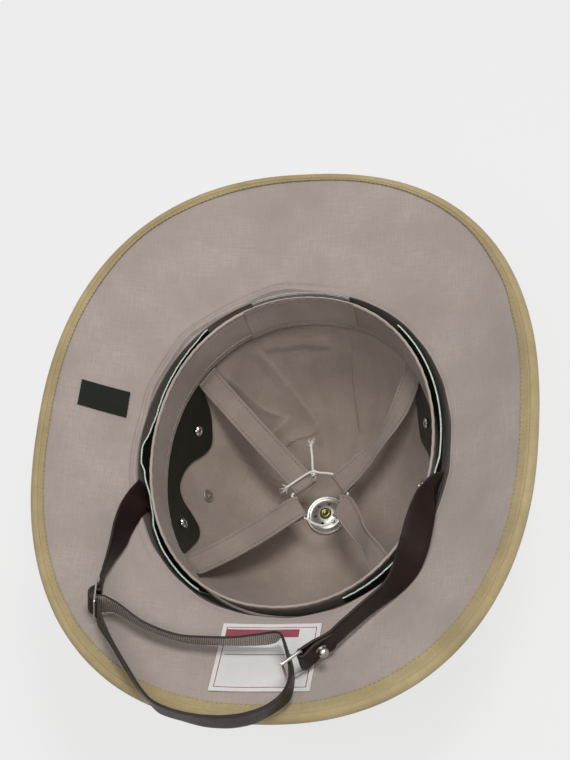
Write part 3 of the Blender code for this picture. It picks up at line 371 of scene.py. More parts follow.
def grained(name, colour, wear_and_groove_shade, grain, roughness, relief):
    """Tanned hide: small raised cells with fine valleys between them, a satin finish and lighter wear."""
    mat, tree, shader = material(name, Specular_IOR_Level=0.15)
    place = add(tree, "TexCoord").outputs["Object"]
    cells = add(tree, "TexVoronoi", {"Vector": place, "Scale": 1.0 / grain}, feature="DISTANCE_TO_EDGE")
    soft = add(tree, "TexNoise", {"Vector": place, "Scale": 120.0, "Detail": 4.0})
    tone = mixed(tree, soft.outputs["Fac"], linear(colour), linear(wear_and_groove_shade))
    tree.links.new(tone, shader.inputs["Base Color"])
    glossed(tree, shader, soft.outputs["Fac"], roughness - 0.08, roughness + 0.08)
    edge = add(tree, "MapRange", {"Value": cells.outputs["Distance"], "From Max": 0.12})
    raised(tree, shader, edge.outputs[0], 0.6, relief)
    return mat


def ribbed(name, ridge, groove, pitch):
    """Coated backing of the strap, embossed with fine ribs across it, with painted shade in the grooves
    between the ribs.
    """
    mat, tree, shader = material(name, Roughness=0.55, Specular_IOR_Level=0.4)
    uv = add(tree, "UVMap", uv_map="cloth").outputs["UV"]
    ribs = add(tree, "TexWave", {"Vector": uv, "Scale": WAVE_UNIT / pitch, "Distortion": 0.5,
                                 "Detail": 1.0}, wave_type="BANDS", bands_direction="X")
    spots = add(tree, "TexNoise", {"Vector": uv, "Scale": 500.0, "Detail": 3.0})
    # The grooves between the ribs take the darker colour as painted shade, broken into random patches by the
    # noise
    wear_and_groove_shade = add(tree, "Math", {0: ribs.outputs["Fac"], 1: spots.outputs["Fac"]}, operation="MULTIPLY")
    share = add(tree, "MapRange", {"Value": wear_and_groove_shade.outputs[0], "From Max": 0.55})
    tone = mixed(tree, share.outputs[0], linear(groove), linear(ridge))
    tree.links.new(tone, shader.inputs["Base Color"])
    raised(tree, shader, ribs.outputs["Fac"], 0.8, 0.15 * MM)
    return mat


def mottled(name, colour, other, patch, roughness, relief=0.05 * MM, metallic=0.0, **sockets):
    """A surface whose tone and gloss drift over patches of a given size, with a slight unevenness."""
    mat, tree, shader = material(name, Metallic=metallic, **sockets)
    place = add(tree, "TexCoord").outputs["Object"]
    drift = add(tree, "TexNoise", {"Vector": place, "Scale": 1.0 / patch, "Detail": 5.0, "Roughness": 0.6})
    share = add(tree, "MapRange", {"Value": drift.outputs["Fac"], "From Min": 0.3, "From Max": 0.7})
    tone = mixed(tree, share.outputs[0], linear(colour), linear(other))
    tree.links.new(tone, shader.inputs["Base Color"])
    glossed(tree, shader, drift.outputs["Fac"], roughness * 0.8, min(1.0, roughness * 1.2))
    raised(tree, shader, drift.outputs["Fac"], 0.5, relief)
    return mat


# Cotton drill of the lining: matt, with a dry greyish-rose taupe
LINING = woven("taupe cotton drill", 0.9 * MM, "#a89c95", "#9c9089", "#968a83")
# The crown's lining hangs slack and is drawn a little warmer and darker than the brim's
CROWN_CLOTH = woven("taupe cotton drill, slack", 0.9 * MM, "#9c8d83", "#8f8177", "#83766c")
# The same drill, darker where hands and sweat have been
BAND_CLOTH = woven("taupe cotton drill, handled", 0.9 * MM, "#9b8d82", "#8e8177", "#83766c")
# The crown's lining where it turns over the opening: painted shade, darker to stand for the gap behind the
# sweatband
GAP_SHADE_CLOTH = woven("taupe cotton drill, painted gap shade", 0.9 * MM, "#5a4e46", "#4d433c", "#433a34")
# The sweatband's rolled free edge, drawn paler
BAND_ROLL = woven("taupe cotton drill, rolled edge", 0.9 * MM, "#b4a79c", "#a79a90", "#9b8e84")
# The patch over the sweatband's joint and the tapes of the cradle
PATCH_CLOTH = woven("taupe cotton patch", 0.9 * MM, "#a2948a", "#968980", "#8b7f75")
TAPE_CLOTH = woven("taupe cotton tape", 0.8 * MM, "#94867c", "#877a71", "#7c7068")
# Raw cloth edge where the weave has come loose
FRAYED = mottled("loose cotton threads", "#c3c6c6", "#a5a8a8", 1.5 * MM, 0.95, 0.05 * MM)
# Khaki drill of the outside: warmer and yellower than the lining
COVER_CLOTH = woven("khaki cotton drill", 0.9 * MM, "#b5a37e", "#a99772", "#9c8b68")
# Olive-tan binding tape: close ribbed weave with a slight sheen
BINDING_CLOTH = woven("olive-tan cotton tape", 0.7 * MM, "#b09e76", "#a08f69", "#91815e", sheen=0.15)
# Pressed pith: dry, open and crumbly
PITH = mottled("pressed pith", "#c6b48c", "#a8946c", 4.0 * MM, 0.95, 0.4 * MM)
# Vulcanised fibre with a green-black lacquer: hard, smooth and satin
FIBRE = mottled("lacquered fibre board", "#1a1c12", "#12140c", 9.0 * MM, 0.42, 0.05 * MM)
# Its raw cut edge: pale, slightly furry
FIBRE_EDGE = mottled("cut edge of fibre board", "#cfdcd2", "#93a496", 1.2 * MM, 0.9, 0.2 * MM)
# Chrome-tanned cowhide with a pigmented top: fine grain and a soft shine
LEATHER = grained("dark brown cowhide", "#1f1413", "#281b19", 0.7 * MM, 0.42, 0.12 * MM)
SATIN_LEATHER = grained("dark brown cowhide, pressed smooth", "#221716", "#2a1d1b", 0.7 * MM, 0.36,
                        0.05 * MM)
LEATHER_EDGE = mottled("cut edge of cowhide", "#1c1211", "#2b1e1c", 1.0 * MM, 0.7, 0.1 * MM)
# Its dark second colour is painted shade in the grooves between the ribs
STRAP_BACK = ribbed("ribbed grey backing", "#bdb6af", "#5f5751", 1.25 * MM)
# Nickel on steel: soft reflections, slightly yellow
NICKEL = mottled("nickel-plated steel", "#e2e0da", "#cfccc5", 3.0 * MM, 0.30, 0.01 * MM, metallic=1.0)
# Zinc plate gone dull: milky, soft reflections
ZINC = mottled("dull zinc-plated steel", "#d6d5cf", "#b3b1aa", 2.5 * MM, 0.42, 0.03 * MM, metallic=1.0)
BRASS = mottled("tarnished brass", "#8f8a50", "#6c693f", 1.5 * MM, 0.40, 0.04 * MM, metallic=1.0)
# Twisted white cotton: dry and slightly dusty
COTTON = mottled("white cotton yarn", "#e3dfd8", "#cbc6be", 1.2 * MM, 0.95, 0.1 * MM, Sheen_Weight=0.3)
# Woven labels: smooth ground with a printed border
LABEL_WHITE = woven("white woven label", 0.5 * MM, "#dcdad8", "#d2d0ce", "#cac8c6", roughness=0.7)
LABEL_RED = woven("red print on a woven label", 0.5 * MM, "#9c4a58", "#8f4250", "#87404c", roughness=0.7)
LABEL_RULE = woven("dark print on a woven label", 0.5 * MM, "#4a4a52", "#424249", "#3c3c44", roughness=0.7)
LABEL_DARK = woven("dark green woven label", 0.5 * MM, "#1f231b", "#191c15", "#161912", roughness=0.8,
                   sheen=0.0)
# Sewing thread, a little darker than its cloth
THREAD_TAUPE = mottled("taupe sewing thread", "#7d716a", "#6b605a", 1.0 * MM, 0.8, 0.05 * MM)
THREAD_OLIVE = mottled("olive sewing thread", "#8b7d5b", "#7a6d4e", 1.0 * MM, 0.8, 0.05 * MM)
# Painted shade: a dark colour on the flat middle of a hollow rivet, standing for its hole
RIVET_HOLE_SHADE = mottled("painted shade of a rivet's hole", "#1d1b19", "#2b2825", 0.8 * MM, 0.7, 0.05 * MM)


# Surface of the lining --------------------------------------------------------------------------
def oval(turn, half, power):
    """Plan point of a superellipse at a turn in radians."""
    c, s = math.cos(turn), math.sin(turn)
    return (half[0] * math.copysign(abs(c) ** (2.0 / power), c),
            half[1] * math.copysign(abs(s) ** (2.0 / power), s))


def reach(x, y, half, power):
    return (abs(x / half[0]) ** power + abs(y / half[1]) ** power) ** (1.0 / power)


def dome_power(x, y):
    """The crown is fuller at its ends than at its sides."""
    along = abs(y / OPENING_HALF[1]) ** OPENING_POWER
    total = along + abs(x / OPENING_HALF[0]) ** OPENING_POWER
    end_part = along / total if total > 0.0 else 0.0
    return DOME_POWER_SIDE + (DOME_POWER_END - DOME_POWER_SIDE) * end_part


def under_height(x, y):
    """Height of the lining over a plan point: crown inside the opening, brim outside it."""
    inner = reach(x, y, OPENING_HALF, OPENING_POWER)
    if inner <= 1.0:
        return APEX_Z + (OPENING_Z - APEX_Z) * inner ** dome_power(x, y)
    outer = reach(x, y, RIM_HALF, RIM_POWER)
    from_opening = (inner - 1.0) * OPENING_HALF[0]
    to_rim = max(0.0, 1.0 - outer) * RIM_HALF[0]
    part = from_opening / (from_opening + to_rim)
    share = (y / (outer * RIM_HALF[1])) ** 2
    end_z = RIM_Z_FRONT if y < 0.0 else RIM_Z_REAR
    rim_z = RIM_Z_SIDE + (end_z - RIM_Z_SIDE) * share
    return OPENING_Z + (rim_z - OPENING_Z) * part ** BRIM_CURVE


def under_normal(x, y):
    step = 1.5 * MM
    slope_x = (under_height(x + step, y) - under_height(x - step, y)) / (2.0 * step)
    slope_y = (under_height(x, y + step) - under_height(x, y - step)) / (2.0 * step)
    return Vector((-slope_x, -slope_y, 1.0)).normalized()


def plan_point(u, turn):
    """Plan place at u and turn, and the place where the surface's tilt is read."""
    x, y = oval(turn, OPENING_HALF, OPENING_POWER)
    if u <= 1.0:
        return (x * u, y * u), (x * u, y * u)
    x_rim, y_rim = oval(turn, RIM_HALF, RIM_POWER)
    shares = (u - 1.0, min(u - 1.0, NORMAL_END))
    return tuple((x + (x_rim - x) * share, y + (y_rim - y) * share) for share in shares)


def surface(u, turn):
    """Point of the lining and its normal."""
    (x, y), tilt = plan_point(u, turn)
    return Vector((x, y, under_height(x, y))), under_normal(*tilt)


def layer_point(u, turn, depth):
    point, normal = surface(u, turn)
    return point + normal * depth


def binding_u(u, turn):
    """u of the binding's profile, whose inner part is narrowed to its row in the table."""
    edge = table_value(BINDING_EDGE, math.degrees(turn) % 360.0)
    inside = max(0.0, BINDING_NOSE - u) * (BINDING_NOSE - edge) / (BINDING_NOSE - BINDING_START)
    return max(u, BINDING_NOSE) - inside


def ease(value, low, high):
    """0 below low, 1 above high and smooth between."""
    part = min(1.0, max(0.0, (value - low) / (high - low)))
    return part * part * (3.0 - 2.0 * part)


def table_value(table, at):
    """Value of a two-column table at a place, eased between its rows."""
    if at <= table[0][0]:
        return table[0][1]
    for (a, value_a), (b, value_b) in zip(table, table[1:]):
        if at <= b:
            return value_a + (value_b - value_a) * ease(at, a, b)
    return table[-1][1]


def smooth_value(table, at):
    """Value on a smooth curve through a two-column table's rows."""
    at = min(max(at, table[0][0]), table[-1][0])
    i = next(k for k in range(len(table) - 1) if at <= table[k + 1][0])
    before, start, end, after = (table[max(i - 1, 0)], table[i], table[i + 1],
                                 table[min(i + 2, len(table) - 1)])
    span = end[0] - start[0]
    t = (at - start[0]) / span
    leave = (end[1] - before[1]) / (end[0] - before[0]) * span
    arrive = (after[1] - start[1]) / (after[0] - start[0]) * span
    return ((2 * t ** 3 - 3 * t * t + 1) * start[1] + (t ** 3 - 2 * t * t + t) * leave
            + (3 * t * t - 2 * t ** 3) * end[1] + (t ** 3 - t * t) * arrive)


def bell(value, middle, width):
    return math.exp(-((value - middle) / width) ** 2)


def ripple(point, size, seed=0.0):
    """Smooth random value from -1 to 1 that changes over the given size."""
    return noise.noise(point / size + Vector((seed, 1.7 * seed, 0.6 * seed)))


# Making pieces ----------------------------------------------------------------------------------
def linked(name, bm):
    """Turn a bmesh into an object of the scene."""
    mesh = bpy.data.meshes.new(name)
    bm.to_mesh(mesh)
    bm.free()
    obj = bpy.data.objects.new(name, mesh)
    bpy.context.collection.objects.link(obj)
    return obj


def piece(name, bm, materials, nodes=(), sharp=SHARP):
    """Turn a finished bmesh into a piece that rides on the helmet and stands for its solids."""
    obj = linked(name, bm)
    for mat in materials:
        obj.data.materials.append(mat)
    obj.data.shade_smooth()
    obj.data.set_sharp_from_angle(angle=math.radians(sharp))
    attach(obj, "root")
    if nodes:
        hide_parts(*nodes)
    return obj


def outward(bm):
    bmesh.ops.recalc_face_normals(bm, faces=bm.faces)
    if bm.calc_volume(signed=True) < 0.0:
        bmesh.ops.reverse_faces(bm, faces=bm.faces)


def spun(profile, steps):
    """Spin a profile of (radius, height) once round Z."""
    bm = bmesh.new()
    ring = [bm.verts.new((radius, 0.0, height)) for radius, height in profile]
    pairs = list(zip(ring, ring[1:]))
    if profile[0][0] > 0.0:
        pairs.append((ring[-1], ring[0]))
    edges = [bm.edges.new(pair) for pair in pairs]
    bmesh.ops.spin(bm, geom=ring + edges, cent=ORIGIN, axis=UP, angle=math.tau, steps=steps,
                   use_merge=True, use_duplicate=False)
    bmesh.ops.remove_doubles(bm, verts=bm.verts, dist=0.001 * MM)
    return bm


def lay_ring(bm, place, cloth, paint=None):
    """Move a spun ring of (u, turn, depth) to its place, with cloth coordinates and, if asked, a
    material for each face from the same three."""
    layer = bm.loops.layers.uv.new("cloth")
    where = {}
    for vert in bm.verts:
        where[vert] = (math.hypot(vert.co.x, vert.co.y), math.atan2(vert.co.y, vert.co.x), vert.co.z)
    for face in bm.faces:
        middle = face.calc_center_median()
        centre_turn = math.atan2(middle.y, middle.x)
        if paint:
            face.material_index = paint(math.hypot(middle.x, middle.y), centre_turn, middle.z)
        for loop in face.loops:
            u, turn, depth = where[loop.vert]
            turn += math.tau * round((centre_turn - turn) / math.tau)
            loop[layer].uv = cloth(u, turn, depth)
    for vert, (u, turn, depth) in where.items():
        vert.co = place(u, turn, depth)
    outward(bm)


def rows_between(start, end, count):
    return [start + (end - start) * k / count for k in range(count + 1)]


def wall_profile(us, near, far, back_rows=8):
    """Closed (u, depth) profile: fine rows on the near side and a few on the far one."""
    back = rows_between(us[-1], us[0], back_rows)
    return [(u, near(u)) for u in us] + [(u, far(u)) for u in back]


def grid(columns, rows):
    """Flat grid whose vertices lie at their shares, 0 to 1, along and across."""
    bm = bmesh.new()
    bmesh.ops.create_grid(bm, x_segments=columns, y_segments=rows, size=0.5,
                          matrix=Matrix.Translation((0.5, 0.5, 0.0)))
    return bm


def sheet(width, length):
    """One flat face about the origin."""
    bm = bmesh.new()
    bmesh.ops.create_grid(bm, x_segments=1, y_segments=1, size=0.5,
                          matrix=Matrix.Diagonal((width, length, 1.0, 1.0)))
    return bm


def lay_grid(bm, place, cloth):
    """Move a grid's vertices from their shares to their places, with cloth coordinates from the shares."""
    layer = bm.loops.layers.uv.new("cloth")
    for face in bm.faces:
        for loop in face.loops:
            loop[layer].uv = cloth(loop.vert.co.x, loop.vert.co.y)
    for vert in bm.verts:
        vert.co = place(vert.co.x, vert.co.y)


def thicken(bm, wall):
    """Give a sheet its wall and return the faces round its edge."""
    sheet = set(bm.verts)
    bmesh.ops.solidify(bm, geom=list(bm.faces), thickness=wall)
    return [face for face in bm.faces if 0 < sum(vert in sheet for vert in face.verts) < len(face.verts)]


def through(points, step):
    """Points along the smooth curve through the given rows, about one step apart."""
    rows = [Vector(row) for row in points]
    result = []
    for i in range(len(rows) - 1):
        before, start, end = rows[max(i - 1, 0)], rows[i], rows[i + 1]
        after = rows[min(i + 2, len(rows) - 1)]
        count = max(1, round((end - start).length / step))
        for k in range(count):
            t = k / count
            result.append(0.5 * (2.0 * start + (end - before) * t
                                 + (2.0 * before - 5.0 * start + 4.0 * end - after) * t * t
                                 + (3.0 * start - before - 3.0 * end + after) * t ** 3))
    result.append(rows[-1])
    return result


def lengths(points):
    """How far along a line each of its points lies."""
    gone = [0.0]
    for a, b in zip(points, points[1:]):
        gone.append(gone[-1] + (b - a).length)
    return gone


def heading(points, i):
    """Direction of a line at one of its points."""
    return (points[min(i + 1, len(points) - 1)] - points[max(i - 1, 0)]).normalized()


def swept(frames, section, paint=None):
    """Skin of a closed section along frames of (centre, across, face), closed at both ends.
    section(share) gives offsets across and along the face. paint(share, side) gives a material."""
    columns, sides = len(frames) - 1, len(section(0.0))
    travelled = lengths([centre for centre, _, _ in frames])
    bm = grid(columns, sides)
    layer = bm.loops.layers.uv.new("cloth")
    outline = [Vector(point) for point in section(0.5)]
    round_it = lengths(outline + outline[:1])
    for face in bm.faces:
        if paint:
            middle = face.calc_center_median()
            face.material_index = paint(middle.x, int(middle.y * sides))
        for loop in face.loops:
            i, j = round(loop.vert.co.x * columns), round(loop.vert.co.y * sides)
            loop[layer].uv = (travelled[i], round_it[j])
    for vert in bm.verts:
        i, j = round(vert.co.x * columns), round(vert.co.y * sides)
        centre, across, face_way = frames[i]
        a, b = section(i / columns)[j % sides]
        vert.co = centre + across * a + face_way * b
    bmesh.ops.remove_doubles(bm, verts=bm.verts, dist=0.0005 * MM)
    bmesh.ops.holes_fill(bm, edges=[edge for edge in bm.edges if edge.is_boundary])
    outward(bm)
    return bm


def add_skin(bm, skin):
    """Add a finished skin to a piece."""
    copy = bpy.data.meshes.new("skin")
    skin.to_mesh(copy)
    skin.free()
    bm.from_mesh(copy)
    bpy.data.meshes.remove(copy)


def frames_along(stations):
    """Frames of (centre, across, face) along stations of (centre, across)."""
    points = [point for point, _ in stations]
    frames = []
    for i, (point, side) in enumerate(stations):
        ahead = heading(points, i)
        across = (side - side.project(ahead)).normalized()
        frames.append((point, across, ahead.cross(across)))
    return frames


def round_section(radius, sides):
    ring = [(radius * math.cos(math.tau * k / sides), radius * math.sin(math.tau * k / sides))
            for k in range(sides)]
    return lambda share: ring


def flat_section(width, wall, bulge=0.0, corner=0.3, hem=0.0):
    """Outline of a strip with rounded edges, as (across, face) points."""
    half, side = width / 2.0, wall / 2.0
    rounding = side * corner * 2.0
    right = [(half - rounding + rounding * math.sin(a), math.copysign(side - rounding, -math.cos(a))
              - rounding * math.cos(a)) for a in (math.radians(d) for d in (0, 45, 80, 100, 135, 180))]
    inner = [(half * share, side + bulge * (1.0 - share * share)) for share in (0.6, 0.2, -0.2, -0.6)]
    if hem:
        fold = [(half * a, side + hem * b) for a, b in ((0.94, 0.9), (0.80, 0.9), (0.74, -0.3), (0.66, 0.0))]
        inner = fold + inner[1:3] + [(-x, y) for x, y in reversed(fold)]
    left = [(-x, -y) for x, y in right]
    outer = [(-x, -y) for x, y in inner]
    return right + inner + left + outer


def parallel_frames(points):
    """Frames along a round cord, carried on without twist."""
    across = heading(points, 0).orthogonal().normalized()
    stations = []
    for i, point in enumerate(points):
        across = (across - across.project(heading(points, i))).normalized()
        stations.append((point, across))
    return frames_along(stations)


def stitches(bm, path, lift=lambda point: UP, pitch=STITCH_PITCH, thread=STITCH_THREAD):
    """Add a row of stitches along a path: one thread that swells where it lies on the cloth and dips
    into it between two stitches."""
    steps = 8
    gone = lengths(path)
    count = int(gone[-1] / pitch) * steps
    frames, i = [], 0
    for k in range(count + 1):
        at = gone[-1] * k / count
        while i < len(path) - 2 and gone[i + 1] < at:
            i += 1
        spot = path[i].lerp(path[i + 1], (at - gone[i]) / (gone[i + 1] - gone[i]))
        ahead = (path[i + 1] - path[i]).normalized()
        normal = lift(spot)
        shown = abs(math.sin(math.pi * k / steps))
        frames.append((spot + normal * thread * (shown - 0.9), normal.cross(ahead).normalized(), normal))

    def section(share):
        radius = thread / 2.0 * (0.3 + 0.7 * abs(math.sin(math.pi * share * count / steps)))
        return [(radius * math.cos(math.tau * side / 5), radius * math.sin(math.tau * side / 5))
                for side in range(5)]

    add_skin(bm, swept(frames, section))


# Helmet layers ----------------------------------------------------------------------------------
SHELL_FACE = -(CLOTH + GAP)


def core(u):
    """Thickness of the pith."""
    return CORE_CROWN + (CORE_RIM - CORE_CROWN) * max(0.0, u - 1.0)


def cover_outside(u):
    """Depth of the cover's outer face."""
    return SHELL_FACE - core(u) - GAP - CLOTH


CROWN_OUTSIDE = cover_outside(0.0)


def plan_cloth(u, turn, depth):
    """Cloth cut flat: its threads run straight over the brim."""
    (x, y), _ = plan_point(u, turn)
    return x, y + depth


def panel_cloth(panels, start=0.0):
    """Cloth cut as equal gores whose threads run straight up the middle of each."""
    def cloth(u, turn, depth):
        step = math.tau / panels
        number = math.floor((turn - start) / step)
        middle = start + (number + 0.5) * step
        return (turn - middle) * u * OPENING_HALF[0] + number, u ** GORE_POWER * GORE_LENGTH + depth
    return cloth


# Folds in the lining, each with a sharp lap on one side: a line of places, then lap and width in mm
UPRIGHT_FOLDS = (
    # ((u, turn in degrees), ...), lap, width towards larger turns
    (((0.433, 95.8), (0.607, 100.0), (0.691, 104.9), (0.769, 108.8), (0.911, 116.4)), 1.2, 8.0),
    (((0.534, 67.7), (0.689, 73.9), (0.813, 75.5), (0.932, 73.5)), 1.2, -8.0),
    (((0.621, 114.5), (0.716, 126.0), (0.816, 130.4), (0.888, 133.4)), 1.5, 6.0),
    (((0.354, -131.7), (0.461, -131.4), (0.594, -126.6)), 0.8, 7.0),
    (((0.513, 152.5), (0.640, 156.0), (0.757, 157.1)), 0.6, 6.0),
    (((0.330, 128.0), (0.450, 133.0), (0.560, 139.0), (0.660, 141.0)), 1.6, -9.0),
    (((0.380, 108.0), (0.470, 112.0), (0.560, 121.0)), 1.2, 7.0),
    (((0.250, 60.0), (0.400, 52.0), (0.560, 49.0), (0.740, 47.0)), 0.6, 8.0),
)
FOLD_REACH, MM_PER_U = 12.0, 120.0
LEVEL_FOLDS = (
    # ((turn in degrees, u), ...), lap, width towards larger u
    (((84.0, 0.868), (95.0, 0.872), (104.0, 0.878), (114.0, 0.884)), 1.0, 7.0),
    (((112.0, 0.640), (122.0, 0.610), (134.0, 0.600)), 1.2, -7.0),
    (((96.0, 0.545), (106.0, 0.520), (118.0, 0.525), (130.0, 0.500)), 1.1, 6.0),
)


def lap(off, height, width):
    """Height of a lapped fold at a distance in mm from its line."""
    off, width = (off, width) if width > 0.0 else (-off, -width)
    return height * (bell(off, 0.0, 0.7) if off < 0.0 else max(0.0, 1.0 - off / width))


def fold(row, at, beside, scale, rise, fall):
    """Height of one fold at a place along its line and beside it. Its ends fade in and out."""
    line, height, width = row
    first, last = line[0][0], line[-1][0]
    if not first < at < last:
        return 0.0
    off = (beside - smooth_value(line, at)) * scale
    if abs(off) >= FOLD_REACH:
        return 0.0
    return ease(at, first, first + rise) * (1.0 - ease(at, last - fall, last)) * lap(off, height, width)


def fold_relief(u, turn, radius):
    degrees, round_it = math.degrees(turn), math.radians(1.0) * radius / MM
    return (sum(fold(row, u, degrees, round_it, 0.06, 0.04) for row in UPRIGHT_FOLDS)
            + sum(fold(row, degrees, u, MM_PER_U, 3.0, 3.0) for row in LEVEL_FOLDS))


def brim_lining():
    def place(u, turn, depth):
        base, normal = surface(u, turn)
        relief = 0.30 * ripple(base, 0.034) + 0.10 * ripple(base, 0.011, 4.0)
        # drawn in by the binding's stitches
        edge_u = table_value(BINDING_EDGE, math.degrees(turn) % 360.0)
        pulled = ease(u, edge_u - 0.10, edge_u) * (1.0 - ease(u, edge_u + 0.03, edge_u + 0.06))
        arc = turn * BRIM_RADIUS
        relief += pulled * 0.12 * math.sin(math.tau * arc / 0.0085 + 3.0 * ripple(base, 0.05, 9.0))
        # turned in at the opening
        relief += (1.0 - ease(u, 1.0, 1.06)) * (0.5 * ripple(base, 0.016, 2.0) - 0.6)
        # a loose roll with a groove beside it, at the left and rear of the opening
        left_rear = ease(math.cos(turn - math.radians(148.0)), 0.15, 0.75)
        groove = 1.075 + 0.035 * ripple(base, 0.030, 12.0)
        relief += left_rear * (2.0 * bell(u, groove - 0.040, 0.022) - 1.2 * bell(u, groove, 0.012))
        return base + normal * (depth + relief * MM)

    us = rows_between(1.001, 1.16, 17) + rows_between(1.18, LAYER_END_U, 26)
    bm = spun(wall_profile(us, lambda u: 0.0, lambda u: -CLOTH), AROUND)
    lay_ring(bm, place, plan_cloth)
    piece("brim_lining_cloth", bm, [LINING], ["brim_lining"])


def crown_lining():
    def place(u, turn, depth):
        base, normal = surface(u, turn)
        relief = 0.40 * ripple(base, 0.040, 3.0) + 0.12 * ripple(base, 0.012, 8.0)
        if depth > -0.5 * CLOTH:
            height = Vector((base.x * 0.35, base.y * 0.35, base.z))
            # small puckers at the opening, on the left and rear
            puckers = ease(u, 0.88, 0.96) * ease(-base.x + 0.6 * base.y, 0.0, 0.05)
            relief += puckers * 1.1 * ripple(height, 0.0075, 5.0)
            # slack cloth at the rear
            slack = ease(u, 0.25, 0.45) * (1.0 - ease(u, 0.86, 0.92)) * ease(math.sin(turn), 0.35, 0.85)
            drawn = Vector((turn * 0.060, u * 0.040, 0.0))
            relief += slack * 0.9 * ripple(drawn, 0.008, 2.0)
            relief += fold_relief(u, turn, math.hypot(base.x, base.y))
        return base + normal * (depth + relief * MM)

    us = rows_between(STEM_HOLE_U, 0.30, 12) + rows_between(0.31, 0.999, 84)
    bm = spun(wall_profile(us, lambda u: 0.0, lambda u: -CLOTH), 420)
    # Faces of the lining near the opening take the painted shade of the gap
    lay_ring(bm, place, panel_cloth(GORES, math.radians(10.0)), lambda u, turn, depth: 1 if u > 0.945 else 0)
    piece("crown_lining_cloth", bm, [CROWN_CLOTH, GAP_SHADE_CLOTH], ["crown_lining"])


def shells():
    for name, first, last in (("crown_shell", STEM_HOLE_U, 0.996), ("brim_shell", 1.0, LAYER_END_U)):
        us = rows_between(first, last, 26)
        bm = spun(wall_profile(us, lambda u: SHELL_FACE, lambda u: SHELL_FACE - core(u), 26), 180)
        lay_ring(bm, layer_point, plan_cloth)
        piece(name + "_pith", bm, [PITH], [name])


def cover():
    def place(u, turn, depth):
        outside = ease(-depth, core(u) + CLOTH, core(u) + 2.2 * CLOTH)
        base, normal = surface(u, turn)
        point = base + normal * depth
        relief = 0.25 * ripple(point, 0.035, 6.0)
        step = math.tau / GORES
        off = ((turn / step + 0.5) % 1.0 - 0.5) * step * max(u, 0.05) * OPENING_HALF[0] / MM
        on_crown = 1.0 - ease(u, 0.98, 1.02)
        relief += on_crown * (0.45 * math.exp(-(off / 3.2) ** 4) - 0.5 * math.exp(-(off / 0.8) ** 2))
        return point - normal * outside * relief * MM

    us = rows_between(STEM_HOLE_U, 0.98, 44) + rows_between(1.0, LAYER_END_U, 26)
    inner = rows_between(LAYER_END_U, 1.0, 8) + rows_between(0.98, STEM_HOLE_U, 26)
    profile = [(u, cover_outside(u)) for u in us] + [(u, cover_outside(u) + CLOTH) for u in inner]
    bm = spun(profile, AROUND)
    lay_ring(bm, place, panel_cloth(GORES))
    piece("cover_cloth", bm, [COVER_CLOTH], ["cover"])


def hat_band():
    low, high = HAT_BAND_U
    face, lip, hem, step = CROWN_OUTSIDE - GAP, 0.003, 0.012, 0.3 * MM
    hemmed = face - HAT_BAND_WALL
    flat = hemmed + step

    def place(u, turn, depth):
        relief = 0.25 * ripple(layer_point(u, turn, depth), 0.02, 7.0)
        return layer_point(u, turn, depth + relief * MM)

    outer = [(low, face - step), (low + lip, hemmed), (low + hem, hemmed), (low + hem + lip, flat)]
    outer += [(u, flat) for u in rows_between(low + 0.03, high - 0.03, 8)]
    outer += [(high - hem - lip, flat), (high - hem, hemmed), (high - lip, hemmed), (high, face - step)]
    inner = [(u, face) for u in rows_between(high, low, 8)]
    bm = spun(outer + inner, AROUND)
    lay_ring(bm, place, panel_cloth(1))
    piece("hat_band_cloth", bm, [COVER_CLOTH], ["hat_band"])


def binding_profile():
    """U-shaped section of the tape round the brim's edge, with the crease where it was pressed."""
    start, nose_u = BINDING_START, BINDING_NOSE
    top_in, bottom_in = GAP, cover_outside(2.0) - GAP
    top, bottom = top_in + CLOTH, bottom_in - CLOTH
    middle, half = (top + bottom) / 2.0, (top - bottom) / 2.0
    lead = cover_outside(start) - cover_outside(2.0)
    upper = [(start, top_in + 0.3 * MM), (start + 0.002, top - 0.2 * MM), (start + 0.006, top)]
    upper += [(u, top) for u in rows_between(start + 0.012, 1.936, 8)]
    upper += [(1.944, top - 0.1 * MM), (1.950, top - 0.35 * MM), (1.956, top - 0.1 * MM), (1.960, top)]
    nose = [(nose_u + (2.0 - nose_u) * math.cos(a), middle + half * math.sin(a))
            for a in (math.radians(degrees) for degrees in (75, 60, 40, 20, 0, -20, -40, -60, -75))]
    lower = [(u, bottom + lead * (nose_u - u) / (nose_u - start))
             for u in rows_between(1.958, start + 0.006, 9)]
    inside = [(start, bottom_in + lead), (BINDING_INSIDE, bottom_in), (BINDING_INSIDE, top_in)]
    return upper + nose + lower + inside


def brim_binding():
    seam = math.radians(218.0) - math.tau

    def place(u, turn, depth):
        base, normal = surface(binding_u(u, turn), turn)
        arc = turn * BRIM_RADIUS
        inner_edge = 1.0 - ease(u, 1.86, 1.90)
        relief = 0.10 * ripple(base, 0.012) + inner_edge * 0.08 * math.sin(
            math.tau * arc / 0.0060 + 4.0 * ripple(base, 0.03, 2.0))
        relief += 0.35 * lap((turn - seam) * BRIM_RADIUS / MM, 1.0, 9.0)
        side = 1.0 if depth > -2.0 * MM else -1.0
        return base + normal * (depth + side * relief * MM)

    def cloth(u, turn, depth):
        return turn * BRIM_RADIUS, (u - 1.0) * 0.060 + depth

    bm = spun(binding_profile(), AROUND)
    lay_ring(bm, place, cloth)
    piece("brim_binding_tape", bm, [BINDING_CLOTH], ["brim_binding"])

    bm = bmesh.new()
    path = []
    for k in range(721):
        turn = math.tau * k / 720
        path.append(layer_point(binding_u(BINDING_START + 0.016, turn), turn, GAP + CLOTH))
    stitches(bm, path, lambda spot: under_normal(spot.x, spot.y), 2.8 * MM, 0.45 * MM)
    piece("binding_stitches", bm, [THREAD_OLIVE])


